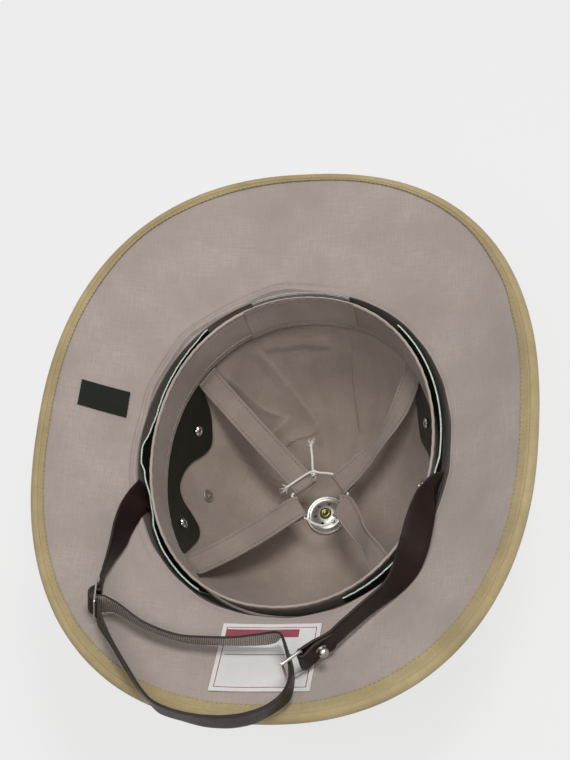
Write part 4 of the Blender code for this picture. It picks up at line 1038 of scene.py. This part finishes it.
# Sweatband --------------------------------------------------------------------------------------
def band_point(turn, z, out):
    """Point of the sweatband's inner face at a height, moved outwards."""
    part = (z - BAND_DEEP[2]) / (BAND_FREE[2] - BAND_DEEP[2])
    half = [BAND_DEEP[k] + (BAND_FREE[k] - BAND_DEEP[k]) * part + out for k in (0, 1)]
    x, y = oval(turn, half, OPENING_POWER)
    return Vector((x, y, z))


def free_edge_z(turn):
    return BAND_FREE[2] - BAND_TILT * math.sin(turn)


def band_place(turn, height, out):
    """Place on the band at a height above its deep edge, as a share of its width there."""
    z = BAND_DEEP[2] + (free_edge_z(turn) - BAND_DEEP[2]) * height
    return band_point(turn, z, out)


def inwards_at(spot):
    return Vector((-spot.x, -spot.y, 0.0)).normalized()


def band_profile():
    """Section as (out, height share): folded hem at the deep edge and a rolled free edge, with a
    groove where each row of stitches is drawn in."""
    per_mm = MM / BAND_WIDTH
    inner = [(0.5, 0.0), (0.05, 0.25 * per_mm), (-0.15, 0.8 * per_mm), (-0.15, 1.2 * per_mm),
             (0.08, 1.6 * per_mm), (-0.15, 2.0 * per_mm), (-0.18, 3.4 * per_mm), (-0.15, 4.5 * per_mm),
             (0.12, 5.0 * per_mm), (0.05, 5.5 * per_mm)]
    inner += [(0.0, share) for share in rows_between(6.4 * per_mm, 1.0 - 5.0 * per_mm, 10)]
    inner += [(0.0, 1.0 - 3.9 * per_mm), (0.22, 1.0 - 3.3 * per_mm), (0.0, 1.0 - 2.7 * per_mm)]
    roll = [(0.45 - 0.85 * math.cos(a), 1.0 - 1.1 * per_mm + 1.1 * per_mm * math.sin(a))
            for a in (math.radians(d) for d in (-60, -30, 0, 30, 60, 90, 120, 150, 180, 210))]
    outer = [(1.0, share) for share in rows_between(1.0 - 4.0 * per_mm, 0.3 * per_mm, 8)]
    return [(out * MM, share) for out, share in inner + roll + outer]


def sweatband():
    def place(u, turn, depth):
        out, share = u - 1.0, depth
        point = band_place(turn, share, out)
        middle = 1.0 - abs(2.0 * share - 1.0)
        relief = 0.40 * ripple(point, 0.022, 1.0) * middle + 0.12 * ripple(point, 0.008, 3.0)
        near_seams = (bell(share, 1.0 - STITCH_BELOW_EDGE / BAND_WIDTH, 0.12)
                      + bell(share, HEM_PUCKER / BAND_WIDTH, 0.12))
        relief += 0.16 * near_seams * math.sin(turn * 82.0 + 5.0 * ripple(point, 0.03))
        return point - inwards_at(point) * relief * MM + UP * 0.18 * MM * ripple(point, 0.03, 8.0)

    def cloth(u, turn, depth):
        return turn * BAND_RADIUS, depth * BAND_WIDTH + (u - 1.0)

    def paint(u, turn, depth):
        return 1 if depth > 1.0 - ROLL_WIDTH / BAND_WIDTH else 0

    bm = spun([(1.0 + out, share) for out, share in band_profile()], AROUND)
    lay_ring(bm, place, cloth, paint)
    piece("sweatband_cloth", bm, [BAND_CLOTH, BAND_ROLL], ["sweatband"])

    bm = bmesh.new()
    for above in (BAND_WIDTH - STITCH_BELOW_EDGE, *HEM_LINES):
        path = [band_place(math.tau * k / 360, above / BAND_WIDTH, 0.1 * MM) for k in range(361)]
        stitches(bm, path, inwards_at)
    piece("sweatband_stitches", bm, [THREAD_TAUPE])


def sweatband_joint():
    first, last = math.acos(PATCH_X[1] / BAND_FREE[0]), math.acos(PATCH_X[0] / BAND_FREE[0])
    low, high = 0.5 * MM / BAND_WIDTH, 1.0 + 0.8 * MM / BAND_WIDTH

    def place(along, across):
        turn = first + (last - first) * along
        point = band_place(turn, low + (high - low) * across, 0.0)
        edge = max(abs(2.0 * along - 1.0), abs(2.0 * across - 1.0))
        lift = 0.3 * ease(edge, 0.90, 0.99) * ripple(point, 0.006, 2.0) + 0.15 * ripple(point, 0.014)
        lift -= 0.22 * sum(bell(across, seam, 0.022) for seam in PATCH_SEAMS)
        return band_place(turn, low + (high - low) * across, -SEAT - lift * MM)

    bm = grid(60, 60)
    lay_grid(bm, place, lambda along, across: (along * 0.075, across * BAND_WIDTH))
    thicken(bm, PATCH_WALL)
    outward(bm)
    piece("sweatband_patch", bm, [PATCH_CLOTH], ["sweatband_joint"])
    bm = bmesh.new()
    for seam in PATCH_SEAMS:
        line = [place(k / 60.0, seam) for k in range(61)]
        path = [spot + inwards_at(spot) * 0.75 * MM for spot in line]
        stitches(bm, path, inwards_at)
    piece("patch_stitches", bm, [THREAD_TAUPE])


def band_overlap():
    """The band's cut end, which laps behind the ring at the joint and frays along its edges."""
    first, last = (math.radians(degrees) for degrees in BAND_END_TURNS)

    def place(along, across):
        turn = first + (last - first) * along
        lean = 1.6 * MM + across * (0.9 + 0.5 * along) * MM
        top = 1.0 + (2.0 - 1.4 * along) * MM / BAND_WIDTH
        point = band_place(turn, 0.35 + (top - 0.35) * across, lean)
        return point + inwards_at(point) * 0.25 * MM * ripple(point, 0.010, 3.0)

    bm = grid(60, 12)
    lay_grid(bm, place, lambda along, across: (along * 0.06, across * 0.02))
    thicken(bm, BAND_END_WALL)
    outward(bm)
    piece("band_end", bm, [BAND_CLOTH])
    chance = random.Random(11)
    bm = bmesh.new()
    for row, rise in ((1.0, 0.1), (0.93, 0.4)):
        line = [place(k / 60.0, row) + UP * (rise * MM + 0.15 * MM * math.sin(k * 1.7)) for k in range(61)]
        add_skin(bm, swept(parallel_frames(line), round_section(0.22 * MM, 5)))
    for k in range(90):
        root = place(chance.random(), 1.0)
        way = (UP + Vector([chance.uniform(-0.9, 0.9) for _ in range(3)])).normalized()
        hair = [root, root + way * 0.7 * MM, root + way * 1.1 * MM + UP * chance.uniform(-0.5, 0.5) * MM]
        add_skin(bm, swept(parallel_frames(hair), round_section(0.08 * MM, 4)))
    piece("band_end_threads", bm, [FRAYED])


# Spacer strips ----------------------------------------------------------------------------------
def crown_point(turn, z, inwards):
    """Point of the crown lining at a height, moved off it along the normal."""
    height = min(z, OPENING_Z - 1.0 * MM)
    x, y = oval(turn, OPENING_HALF, OPENING_POWER)
    part = ((height - APEX_Z) / (OPENING_Z - APEX_Z)) ** (1.0 / dome_power(x, y))
    x, y = x * part, y * part
    normal = under_normal(x, y)
    flat = Vector((normal.x, normal.y, 0.0)).normalized()
    return Vector((x, y, z)) + flat * inwards / CROWN_LEAN


def spacer(name):
    wave = SPACER_WAVE[name]
    first, last = wave[0][0], wave[-1][0]

    def place(along, across):
        degrees = first + (last - first) * along
        turn = math.radians(degrees)
        low = smooth_value(SPACER_DEEP_EDGE[name], degrees)
        z = low + (SPACER_TOP_Z - low) * across
        rise = ease(z, SPACER_FOLLOWS_TO_Z, SPACER_TOP_Z)
        share = 1.0 + (table_value(wave, degrees) - 1.0) * rise
        at_crown = crown_point(turn, z, SPACER_SEAT + SPACER_WALL)
        at_band = band_point(turn, z, BAND_WALL + SPACER_SEAT)
        point = at_band.lerp(at_crown, share)
        return point + UP * ease(across, 0.93, 1.0) * 0.5 * MM * ripple(point, 0.0022, 3.0)

    bm = grid(2 * int(last - first), 30)
    lay_grid(bm, place, lambda along, across: (along * 0.17, across * 0.045))
    bmesh.ops.recalc_face_normals(bm, faces=bm.faces)
    for face in thicken(bm, SPACER_WALL):
        face.material_index = 1
    outward(bm)
    piece(name + "_strip", bm, [FIBRE, FIBRE_EDGE], [name])


# Cradle -----------------------------------------------------------------------------------------
def hem_frame(tape):
    """Centre of the hem's tube, direction of the tape, normal to it and direction across it."""
    _, _, _, hem_x, hem_y, hem_turn, _ = tape
    across = Matrix.Rotation(math.radians(hem_turn), 3, "Z") @ Vector((1.0, 0.0, 0.0))
    along = across.cross(UP)
    slope = along * math.cos(HEM_SLOPE) - UP * math.sin(HEM_SLOPE)
    normal = along * math.sin(HEM_SLOPE) + UP * math.cos(HEM_SLOPE)
    return Vector((hem_x, hem_y, HEM_Z)), slope, normal, across


def tape_frames(tape):
    name, root_x, root_y, _, _, _, bow = tape
    centre, slope, normal, across = hem_frame(tape)
    turn = math.atan2(root_y / BAND_DEEP[1], root_x / BAND_DEEP[0])
    root = band_point(turn, BAND_DEEP[2] - 3.0 * SEAT, 0.0)
    end = centre + normal * HEM_RADIUS - slope * HEM_APPROACH
    below = root - UP * 5.0 * MM + (end - root) * 0.05
    sideways = UP.cross(end - root).normalized()
    tangent = band_point(turn + 0.05, BAND_DEEP[2], 0.0) - band_point(turn - 0.05, BAND_DEEP[2], 0.0)
    tangent = tangent.normalized() * math.copysign(1.0, tangent.dot(across))
    path = [root, below]
    for part, sag in TAPE_SAG:
        path.append(below.lerp(end, part) - UP * sag + sideways * bow * 4.0 * part * (1.0 - part))
    path.append(end)
    for degrees in range(90, -91, -30):
        angle = math.radians(degrees)
        path.append(centre + (slope * math.cos(angle) + normal * math.sin(angle)) * HEM_RADIUS)
    path.append(centre - normal * HEM_RADIUS - slope * HEM_FLAP)
    turning = [1.0, 1.0, 0.75, 0.5, 0.25] + [0.0] * (len(path) - 5)
    rows = [(*point, *across.lerp(tangent, part)) for point, part in zip(path, turning)]
    frames = frames_along(through_rows(rows, 1.2 * MM))
    twisted = []
    for i, (spot, side, face) in enumerate(frames):
        share = i / (len(frames) - 1)
        angle = math.radians(TAPE_TWIST[name]) * bell(share, 0.50, 0.20)
        twisted.append((spot, side * math.cos(angle) + face * math.sin(angle),
                        face * math.cos(angle) - side * math.sin(angle)))
    return twisted


def through_rows(rows, step):
    """Smooth stations through rows of a centre and a direction across."""
    centres = through([row[:3] for row in rows], step)
    counts = [max(1, round((Vector(b[:3]) - Vector(a[:3])).length / step)) for a, b in zip(rows, rows[1:])]
    acrosses = []
    for (a, b), count in zip(zip(rows, rows[1:]), counts):
        acrosses += [Vector(a[3:]).lerp(Vector(b[3:]), k / count) for k in range(count)]
    acrosses.append(Vector(rows[-1][3:]))
    return list(zip(centres, acrosses))


def cradle_tape(tape, seed):
    def slack(point):
        return UP * 0.6 * MM * (ripple(point, 0.008, seed) + ripple(point, 0.022, seed + 2.0))

    section = flat_section(CRADLE_WIDTH, CRADLE_WALL, 0.15 * MM, hem=0.25 * MM)
    frames = tape_frames(tape)
    bm = swept(frames, lambda share: section)
    for vert in bm.verts:
        vert.co += slack(vert.co)
    piece(tape[0] + "_cloth", bm, [TAPE_CLOTH], [tape[0]])
    bm = bmesh.new()
    for side in (-1.0, 1.0):
        path = [spot + across * side * 0.36 * CRADLE_WIDTH + face * 0.55 * CRADLE_WALL
                for spot, across, face in frames[2:-8]]
        stitches(bm, [spot + slack(spot) for spot in path])
    piece(tape[0] + "_stitches", bm, [THREAD_TAUPE])


def hem_points(tape):
    """Where the cord runs in a hem, from one end of its tube to the other."""
    centre, _, _, across = hem_frame(tape)
    half = across * (CRADLE_WIDTH / 2.0 + SEAT)
    return [centre + half * part for part in (-1.0, -0.7, 0.0, 0.7, 1.0)]


def yarn_bundle(bm, points, radius, yarns, lay, sides=6):
    """Twist yarns round a path: each one winds once over the given length of lay."""
    frames = parallel_frames(points)
    for number in range(yarns):
        start = math.tau * number / yarns
        line = []
        for (centre, across, face), at in zip(frames, lengths(points)):
            angle = start + math.tau * at / lay
            line.append(centre + (across * math.cos(angle) + face * math.sin(angle)) * radius * 0.5)
        add_skin(bm, swept(parallel_frames(line), round_section(radius * 0.54, sides)))


def drawstring():
    rear_left, rear_right, front_left, front_right = (hem_points(tape) for tape in TAPES)
    tail_left, right, front, left, tail_rear = (
        [Vector(point) * MM for point in points]
        for points in (CORD_TAIL_LEFT, CORD_RIGHT, CORD_FRONT, CORD_LEFT, CORD_TAIL_REAR))
    route = (tail_left + rear_right + right + front_right + front + front_left + left + rear_left
             + tail_rear)
    bm = bmesh.new()
    yarn_bundle(bm, through(route, 0.7 * MM), CORD_RADIUS, 3, 4.5 * MM)
    piece("drawstring_cord", bm, [COTTON], ["drawstring"], sharp=80.0)

    bm = bmesh.new()
    loops = []
    for k in range(49):
        t = math.tau * k / 48
        turns = Vector((math.sin(t) + 2.0 * math.sin(2.0 * t), math.cos(t) - 2.0 * math.cos(2.0 * t),
                        -1.4 * math.sin(3.0 * t)))
        loops.append(Vector(KNOT_CENTRE) * MM + turns * KNOT_SIZE)
    yarn_bundle(bm, loops, 0.7 * MM, 2, 3.5 * MM)
    piece("drawstring_knot", bm, [COTTON], sharp=80.0)

    chance = random.Random(5)
    bm = bmesh.new()
    for end, before in ((route[0], route[1]), (route[-1], route[-2])):
        ahead = (end - before).normalized()
        for _ in range(16):
            spread = Vector([chance.uniform(-1.0, 1.0) for _ in range(3)])
            root = end - ahead * chance.uniform(0.5, 2.5) * MM + spread * 0.3 * MM
            hair = [root, root + (ahead + spread * 0.45) * 1.4 * MM, root + (ahead + spread * 0.8) * 3.2 * MM]
            add_skin(bm, swept(parallel_frames(through(hair, 0.8 * MM)), round_section(0.13 * MM, 4)))
    piece("drawstring_ends", bm, [COTTON], sharp=80.0)


# Straps -----------------------------------------------------------------------------------------
SLIDE_SHORT = SLIDE_FACE.cross(SLIDE_LONG).normalized()
SLIDE_NORMAL = SLIDE_LONG.cross(SLIDE_SHORT).normalized()


def slide_rows(rows):
    points = [SLIDE_CENTRE / MM + SLIDE_NORMAL * towards + SLIDE_SHORT * short for towards, short in rows]
    return [(*point, *-SLIDE_LONG) for point in points]


def strap_stations(rows, step=1.5 * MM):
    metric = [(*(Vector(row[:3]) * MM), *row[3:]) for row in rows]
    return through_rows(metric, step)


# Sides of a strap's section on its two faces. The others are cut edges.
FACE_SIDES, BACK_SIDES = (5, 6, 7, 8, 9, 10), (15, 16, 17, 18, 19, 0)


def chin_strap():
    to_slide = strap_stations(list(STRAP_LEFT) + slide_rows(SLIDE_PASS)[:6])
    rows = list(STRAP_LEFT) + slide_rows(SLIDE_PASS) + list(STRAP_UNDER) + slide_rows(SLIDE_HOOK)
    stations = strap_stations(rows)
    past_slide = len(to_slide) / len(stations)

    def paint(share, side):
        if side in FACE_SIDES:
            return 2 if share > past_slide else 0
        return 0 if side in BACK_SIDES else 1

    centres = [centre for centre, _ in stations]
    frames = []
    for i, (centre, across) in enumerate(stations):
        across = across.normalized()
        frames.append((centre, across, heading(centres, i).cross(across).normalized()))
    section = flat_section(STRAP_WIDTH, STRAP_WALL)
    bm = swept(frames, lambda share: section, paint)
    piece("chin_strap_leather", bm, [LEATHER, LEATHER_EDGE, STRAP_BACK], ["chin_strap"])


def outer_side(across, ahead):
    """Direction out of the strap's face, towards -Y."""
    normal = across.cross(ahead).normalized()
    return -normal if normal.y > 0.0 else normal


def short_strap():
    stations = strap_stations(STRAP_RIGHT, 6.0 * MM)
    fold_point = stations[-1][0]

    def back_along(distance):
        """Point, direction across and direction to the fold, at a distance back from the fold."""
        gone = 0.0
        for (ahead_point, ahead_across), (point, across) in zip(stations[::-1], stations[-2::-1]):
            length = (ahead_point - point).length
            if gone + length >= distance:
                part = (distance - gone) / length
                ahead = (ahead_point - point).normalized()
                across = ahead_across.lerp(across, part)
                return ahead_point.lerp(point, part), (across - across.project(ahead)).normalized(), ahead
            gone += length
        raise ValueError(distance)

    _, fold_across, fold_ahead = back_along(1.0 * MM)
    stud_foot, stud_across, stud_ahead = back_along(STUD_FROM_FOLD)
    fold_out = outer_side(fold_across, fold_ahead)
    fold_centre = fold_point + fold_out * FOLD_RADIUS
    flap = []
    for k in range(1, 6):
        distance = FLAP_LENGTH * k / 5.0
        point, across, ahead = back_along(distance)
        open_part = max(0.0, 1.0 - distance / FLAP_CLOSE)
        apart = STRAP_WALL + SEAT + (2.0 * FOLD_RADIUS - STRAP_WALL - SEAT) * open_part
        flap.append((point + outer_side(across, ahead) * apart, across))
    for degrees in (30, 60, 90, 120, 150, 180):
        angle = math.radians(degrees)
        offset = fold_ahead * math.sin(angle) - fold_out * math.cos(angle)
        stations.append((fold_centre + offset * FOLD_RADIUS, fold_across))
    rows = [(*point, *across) for point, across in stations + flap]
    frames = frames_along(through_rows(rows, 1.2 * MM))

    def section(share):
        end = min(1.0, (1.0 - share) / 0.035)
        return flat_section(STRAP_WIDTH * (0.55 + 0.45 * math.sqrt(1.0 - (1.0 - end) ** 2)), STRAP_WALL)

    bm = swept(frames, section, lambda share, side: 0 if side in FACE_SIDES + BACK_SIDES else 1)
    bm.normal_update()
    for vert in bm.verts:
        near_fold = 1.0 - ease((vert.co - fold_point).length, 18.0 * MM, 30.0 * MM)
        vert.co += vert.normal * near_fold * 0.22 * MM * ripple(vert.co, 0.0032, 7.0)
    piece("short_strap_leather", bm, [SATIN_LEATHER, LEATHER_EDGE], ["short_strap"])

    stud_out = outer_side(stud_across, stud_ahead)
    foot = stud_foot + stud_across * STUD_RISE + stud_out * (1.5 * STRAP_WALL + 2.0 * SEAT + GAP)
    make_stud(frame_at(foot, stud_out))
    wire_loop(fold_centre, fold_centre + LOOP_DIRECTION * LOOP_LENGTH, fold_across)


def frame_at(origin, axis):
    """Matrix whose Z is the axis and whose origin is the point."""
    return Matrix.Translation(origin) @ axis.to_track_quat("Z", "Y").to_matrix().to_4x4()


def on_lining(x, y):
    """Matrix of a fitting that stands on the lining over a plan point."""
    return frame_at(Vector((x, y, under_height(x, y))), under_normal(x, y))


def turned(name, profile, mat, nodes, matrix=Matrix.Identity(4), steps=64):
    """Piece spun from a profile of (radius, height) in millimetres."""
    bm = spun([(radius * MM, height * MM) for radius, height in profile], steps)
    outward(bm)
    bm.transform(matrix)
    return piece(name, bm, [mat], nodes)


def make_stud(matrix):
    radius, centre = STUD_BALL / MM, STUD_CENTRE_HEIGHT / MM
    ball = [(radius * math.cos(math.radians(a)), centre + radius * math.sin(math.radians(a)))
            for a in range(-40, 86, 7)]
    foot, collar, neck = STUD_COLLAR_HEIGHT / MM, STUD_COLLAR / MM, STUD_NECK / MM
    turned("stud_ball", [(0.0, 0.0), (collar, 0.0), (collar + 0.1, 0.5 * foot), (collar - 0.1, foot),
                         (neck, foot), (neck, foot + 0.12)] + ball + [(0.0, centre + radius)],
           NICKEL, ["strap_stud"], matrix)


def wire_loop(start, end, up):
    """Rectangle of wire with rounded corners from the bar in the fold to the bar in the long strap."""
    along = (end - start).normalized()
    points = []
    for bar, side, inwards in ((start, 1, 1), (end, 1, -1), (end, -1, -1), (start, -1, 1)):
        corner = bar + up * side * LOOP_HEIGHT / 2.0
        beside = corner - up * side * LOOP_CORNER
        bent = corner + (along * inwards - up * side) * LOOP_CORNER * 0.25
        ahead = corner + along * inwards * LOOP_CORNER
        points += [beside, bent, ahead] if side * inwards > 0 else [ahead, bent, beside]
    line = through(points + [points[0]], 0.6 * MM)
    bm = swept(parallel_frames(line), round_section(LOOP_WIRE, 12))
    piece("loop_wire", bm, [NICKEL], ["strap_loop"], sharp=60.0)


def strap_slide():
    width = 2.0 * SLIDE_PITCH + SLIDE_BAR
    slot, length = SLIDE_PITCH - SLIDE_BAR, SLIDE_LENGTH - 2.0 * SLIDE_BAR
    bm = sheet(width, SLIDE_LENGTH)
    cut_lines(bm, 0, [side * (SLIDE_PITCH / 2.0 + end * slot / 2.0) for side in (-1, 1) for end in (-1, 1)])
    cut_lines(bm, 1, [-length / 2.0, length / 2.0])
    openings = [face for face in bm.faces
                if abs(face.calc_center_median().y) < length / 2.0
                and abs(abs(face.calc_center_median().x) - SLIDE_PITCH / 2.0) < slot / 2.0]
    bmesh.ops.delete(bm, geom=openings, context="FACES")
    thicken(bm, SLIDE_WALL)
    heights = [vert.co.z for vert in bm.verts]
    bmesh.ops.translate(bm, verts=bm.verts, vec=(0.0, 0.0, -(min(heights) + max(heights)) / 2.0))
    sharp = [edge for edge in bm.edges if len(edge.link_faces) == 2 and edge.calc_face_angle() > 1.0]
    bmesh.ops.bevel(bm, geom=sharp, offset=0.3 * MM, offset_type="OFFSET", affect="EDGES",
                    segments=2, profile=0.5, material=-1)
    bm.transform(Matrix.Translation(SLIDE_CENTRE)
                 @ Matrix((SLIDE_SHORT, SLIDE_LONG, SLIDE_NORMAL)).transposed().to_4x4())
    outward(bm)
    piece("slide_frame", bm, [NICKEL], ["strap_slide"])


# Ventilator, eyelets and rivets -----------------------------------------------------------------
def cut_through(obj, holes):
    """Cut a bmesh out of a finished piece."""
    cutter = linked("holes", holes)
    boolean = obj.modifiers.new("holes", "BOOLEAN")
    boolean.operation, boolean.solver, boolean.object = "DIFFERENCE", "EXACT", cutter
    cut = bpy.data.meshes.new_from_object(obj.evaluated_get(bpy.context.evaluated_depsgraph_get()))
    obj.modifiers.clear()
    obj.data = cut
    cut.set_sharp_from_angle(angle=math.radians(SHARP))
    bpy.data.objects.remove(cutter)


def ventilator():
    apex = APEX_Z / MM
    crown_top = apex + CROWN_OUTSIDE / MM
    turned("ventilator_cap", [
        (0.0, 0.0), (16.5, 0.0), (17.6, 0.2), (18.6, 0.8), (19.3, 1.8), (19.5, 3.0), (19.3, 4.2), (18.4, 5.1),
        (17.6, 5.2), (11.7, 5.2), (11.5, 5.4), (11.5, crown_top - 0.3), (4.4, crown_top - 0.3),
        (4.4, apex + 0.4), (2.0, apex + 0.4), (2.0, apex + 4.7), (0.0, apex + 4.7)],
        COVER_CLOTH, ["ventilator_knob"], steps=96)
    low = apex + 1.0
    top = [(13.1, 0.9), (12.7, 1.15), (12.2, 1.0), (11.7, 0.9), (11.3, 1.5), (10.9, 1.95), (10.4, 1.9),
           (9.6, 1.3), (8.6, 1.6), (7.0, 2.55), (5.4, 3.3), (5.0, 3.4), (2.5, 3.4)]
    profile = [(r, low + h) for r, h in top] + [(r, low + h - 0.7) for r, h in reversed(top)]
    disc = turned("washer_disc", profile, ZINC, ["ventilator_washer"], steps=96)
    holes = bmesh.new()
    for k in range(6):
        place = Matrix.Rotation(math.tau * (k + 0.25) / 6.0, 4, "Z") @ Matrix.Translation(
            (WASHER_HOLE_RING, 0.0, low * MM))
        bmesh.ops.create_cone(holes, cap_ends=True, segments=24, radius1=WASHER_HOLE, radius2=WASHER_HOLE,
                              depth=10.0 * MM, matrix=place)
    cut_through(disc, holes)
    foot = low + 3.7
    turned("nut_dome", [(0.0, foot + 1.2), (0.9, foot + 1.3), (1.5, foot + 1.7), (2.1, foot + 2.0),
                        (2.8, foot + 1.9), (3.4, foot + 1.5), (3.75, foot + 0.7), (3.8, foot),
                        (2.4, foot), (2.4, foot + 0.8), (0.0, foot + 0.8)], BRASS,
           ["ventilator_nut"])


def eyelets():
    flange = EYELET_FLANGE / MM
    far = (CROWN_OUTSIDE - 3.0 * GAP) / MM
    for name, x, y in EYELETS:
        turned(name + "_ring", [
            (1.1, 0.9), (1.3, 1.35), (1.7, 1.5), (2.3, 1.55), (3.0, 1.5), (3.7, 1.35), (4.1, 1.1),
            (flange, 0.8), (2.0, 0.8), (2.0, far), (flange, far), (flange - 0.2, far - 0.5),
            (2.4, far - 0.7), (1.1, far - 0.5)],
            NICKEL, [name], on_lining(x, y), steps=48)


def rivets():
    """Hollow rivets whose split ends are rolled over into petals."""
    top = (SPACER_SEAT + SPACER_WALL + 2.0 * GAP) / MM
    head = RIVET_HEAD / MM
    for name, x, y in RIVETS:
        bm = spun([(r * MM, h * MM) for r, h in (
            (0.0, top + 0.1), (0.8, top + 0.1), (0.95, top + 0.7), (1.4, top + 1.0), (2.1, top + 0.9),
            (2.8, top + 0.55), (head, top + 0.1), (head, top), (1.2, top), (1.2, -4.0), (0.0, -4.0))], 48)
        outward(bm)
        # The flat middle of the head gets the painted shade of the hole
        for face in bm.faces:
            middle = face.calc_center_median()
            if middle.z > top * MM and math.hypot(middle.x, middle.y) < 0.9 * MM:
                face.material_index = 1
        for vert in bm.verts:
            if vert.co.z > (top + 0.05) * MM:
                petal = math.cos(6.0 * math.atan2(vert.co.y, vert.co.x))
                out = ease(math.hypot(vert.co.x, vert.co.y), 1.2 * MM, head * MM)
                vert.co.xy *= 1.0 + 0.10 * out * (petal - 1.0)
                vert.co.z += 0.20 * MM * out * (petal - 1.0)
        bm.transform(on_lining(x, y))
        piece(name + "_head", bm, [NICKEL, RIVET_HOLE_SHADE], [name])


# Labels -----------------------------------------------------------------------------------------
def cut_lines(bm, axis, lines):
    """Cut a flat sheet along lines at right angles to an axis."""
    normal = Vector((1.0, 0.0, 0.0)) if axis == 0 else Vector((0.0, 1.0, 0.0))
    for line in lines:
        bmesh.ops.bisect_plane(bm, geom=bm.verts[:] + bm.edges[:] + bm.faces[:], plane_co=normal * line,
                               plane_no=normal, dist=0.001 * MM)


def label(name, materials, printed, lines_x, lines_y):
    x, y, across, along, turn = LABELS[name]
    bm = sheet(across, along)
    cut_lines(bm, 0, lines_x + [k * LABEL_STEP for k in range(-12, 13)])
    cut_lines(bm, 1, lines_y + [k * LABEL_STEP for k in range(-10, 11)])
    layer = bm.loops.layers.uv.new("cloth")
    for face in bm.faces:
        middle = face.calc_center_median()
        face.material_index = printed(middle.x, middle.y)
        for loop in face.loops:
            loop[layer].uv = loop.vert.co.xy
    spin = Matrix.Rotation(math.radians(turn), 3, "Z")
    for vert in bm.verts:
        flat = spin @ vert.co
        px, py = x + flat.x, y + flat.y
        lift = LABEL_SEAT + 0.25 * MM * ripple(Vector((px, py, 0.0)), 0.014, 6.0)
        vert.co = Vector((px, py, under_height(px, py))) + under_normal(px, py) * lift
    bmesh.ops.recalc_face_normals(bm, faces=bm.faces)
    thicken(bm, LABEL_WALL)
    outward(bm)
    piece(name + "_cloth", bm, materials, [name])


def labels():
    _, _, across, along, _ = LABELS["label_white"]
    half_x, half_y = across / 2.0 - LABEL_INSET, along / 2.0 - LABEL_INSET
    inner_x, inner_y, rule_x = half_x - LABEL_LINE, half_y - LABEL_LINE, half_x - RULE_INSET
    head = (-half_x, half_x * 0.62, half_y - 7.0 * MM, half_y - 1.5 * MM)
    rule_y = (1.5 * MM, 1.5 * MM + LABEL_LINE)

    def printed(px, py):
        on_frame = max(abs(px) - half_x, abs(py) - half_y)
        if -LABEL_LINE < on_frame < 0.0 or (head[0] < px < head[1] and head[2] < py < head[3]):
            return 1
        return 2 if abs(px) < rule_x and rule_y[0] < py < rule_y[1] else 0

    label("label_white", [LABEL_WHITE, LABEL_RED, LABEL_RULE], printed,
          [-half_x, half_x, -inner_x, inner_x, head[1], -rule_x, rule_x],
          [-half_y, half_y, -inner_y, inner_y, head[2], head[3], *rule_y])
    label("label_dark", [LABEL_DARK], lambda px, py: 0, [], [])


brim_lining()
crown_lining()
shells()
cover()
hat_band()
brim_binding()
sweatband()
sweatband_joint()
band_overlap()
spacer("spacer_left")
spacer("spacer_right")
for number, cradle in enumerate(TAPES):
    cradle_tape(cradle, 3.0 * number)
drawstring()
chin_strap()
short_strap()
strap_slide()
ventilator()
eyelets()
rivets()
labels()


# Floor and light --------------------------------------------------------------------------------
def floor():
    obj = linked("floor", sheet(FLOOR_SIDE, FLOOR_SIDE))
    obj.data.materials.append(mottled("pale studio paper", "#5a5a5a", "#585858", 0.4, 0.9,
                                      Emission_Color=(1.0, 1.0, 1.0, 1.0), Emission_Strength=FLOOR_GLOW))


def studio():
    world = bpy.data.worlds.new("studio")
    world.use_nodes = True
    back = world.node_tree.nodes["Background"]
    back.inputs["Color"].default_value = (1.0, 1.0, 1.0, 1.0)
    back.inputs["Strength"].default_value = WORLD_STRENGTH
    bpy.context.scene.world = world
    for light in LIGHTS:
        make_light(*light)
    bpy.context.scene.view_settings.view_transform = "Standard"


floor()
studio()
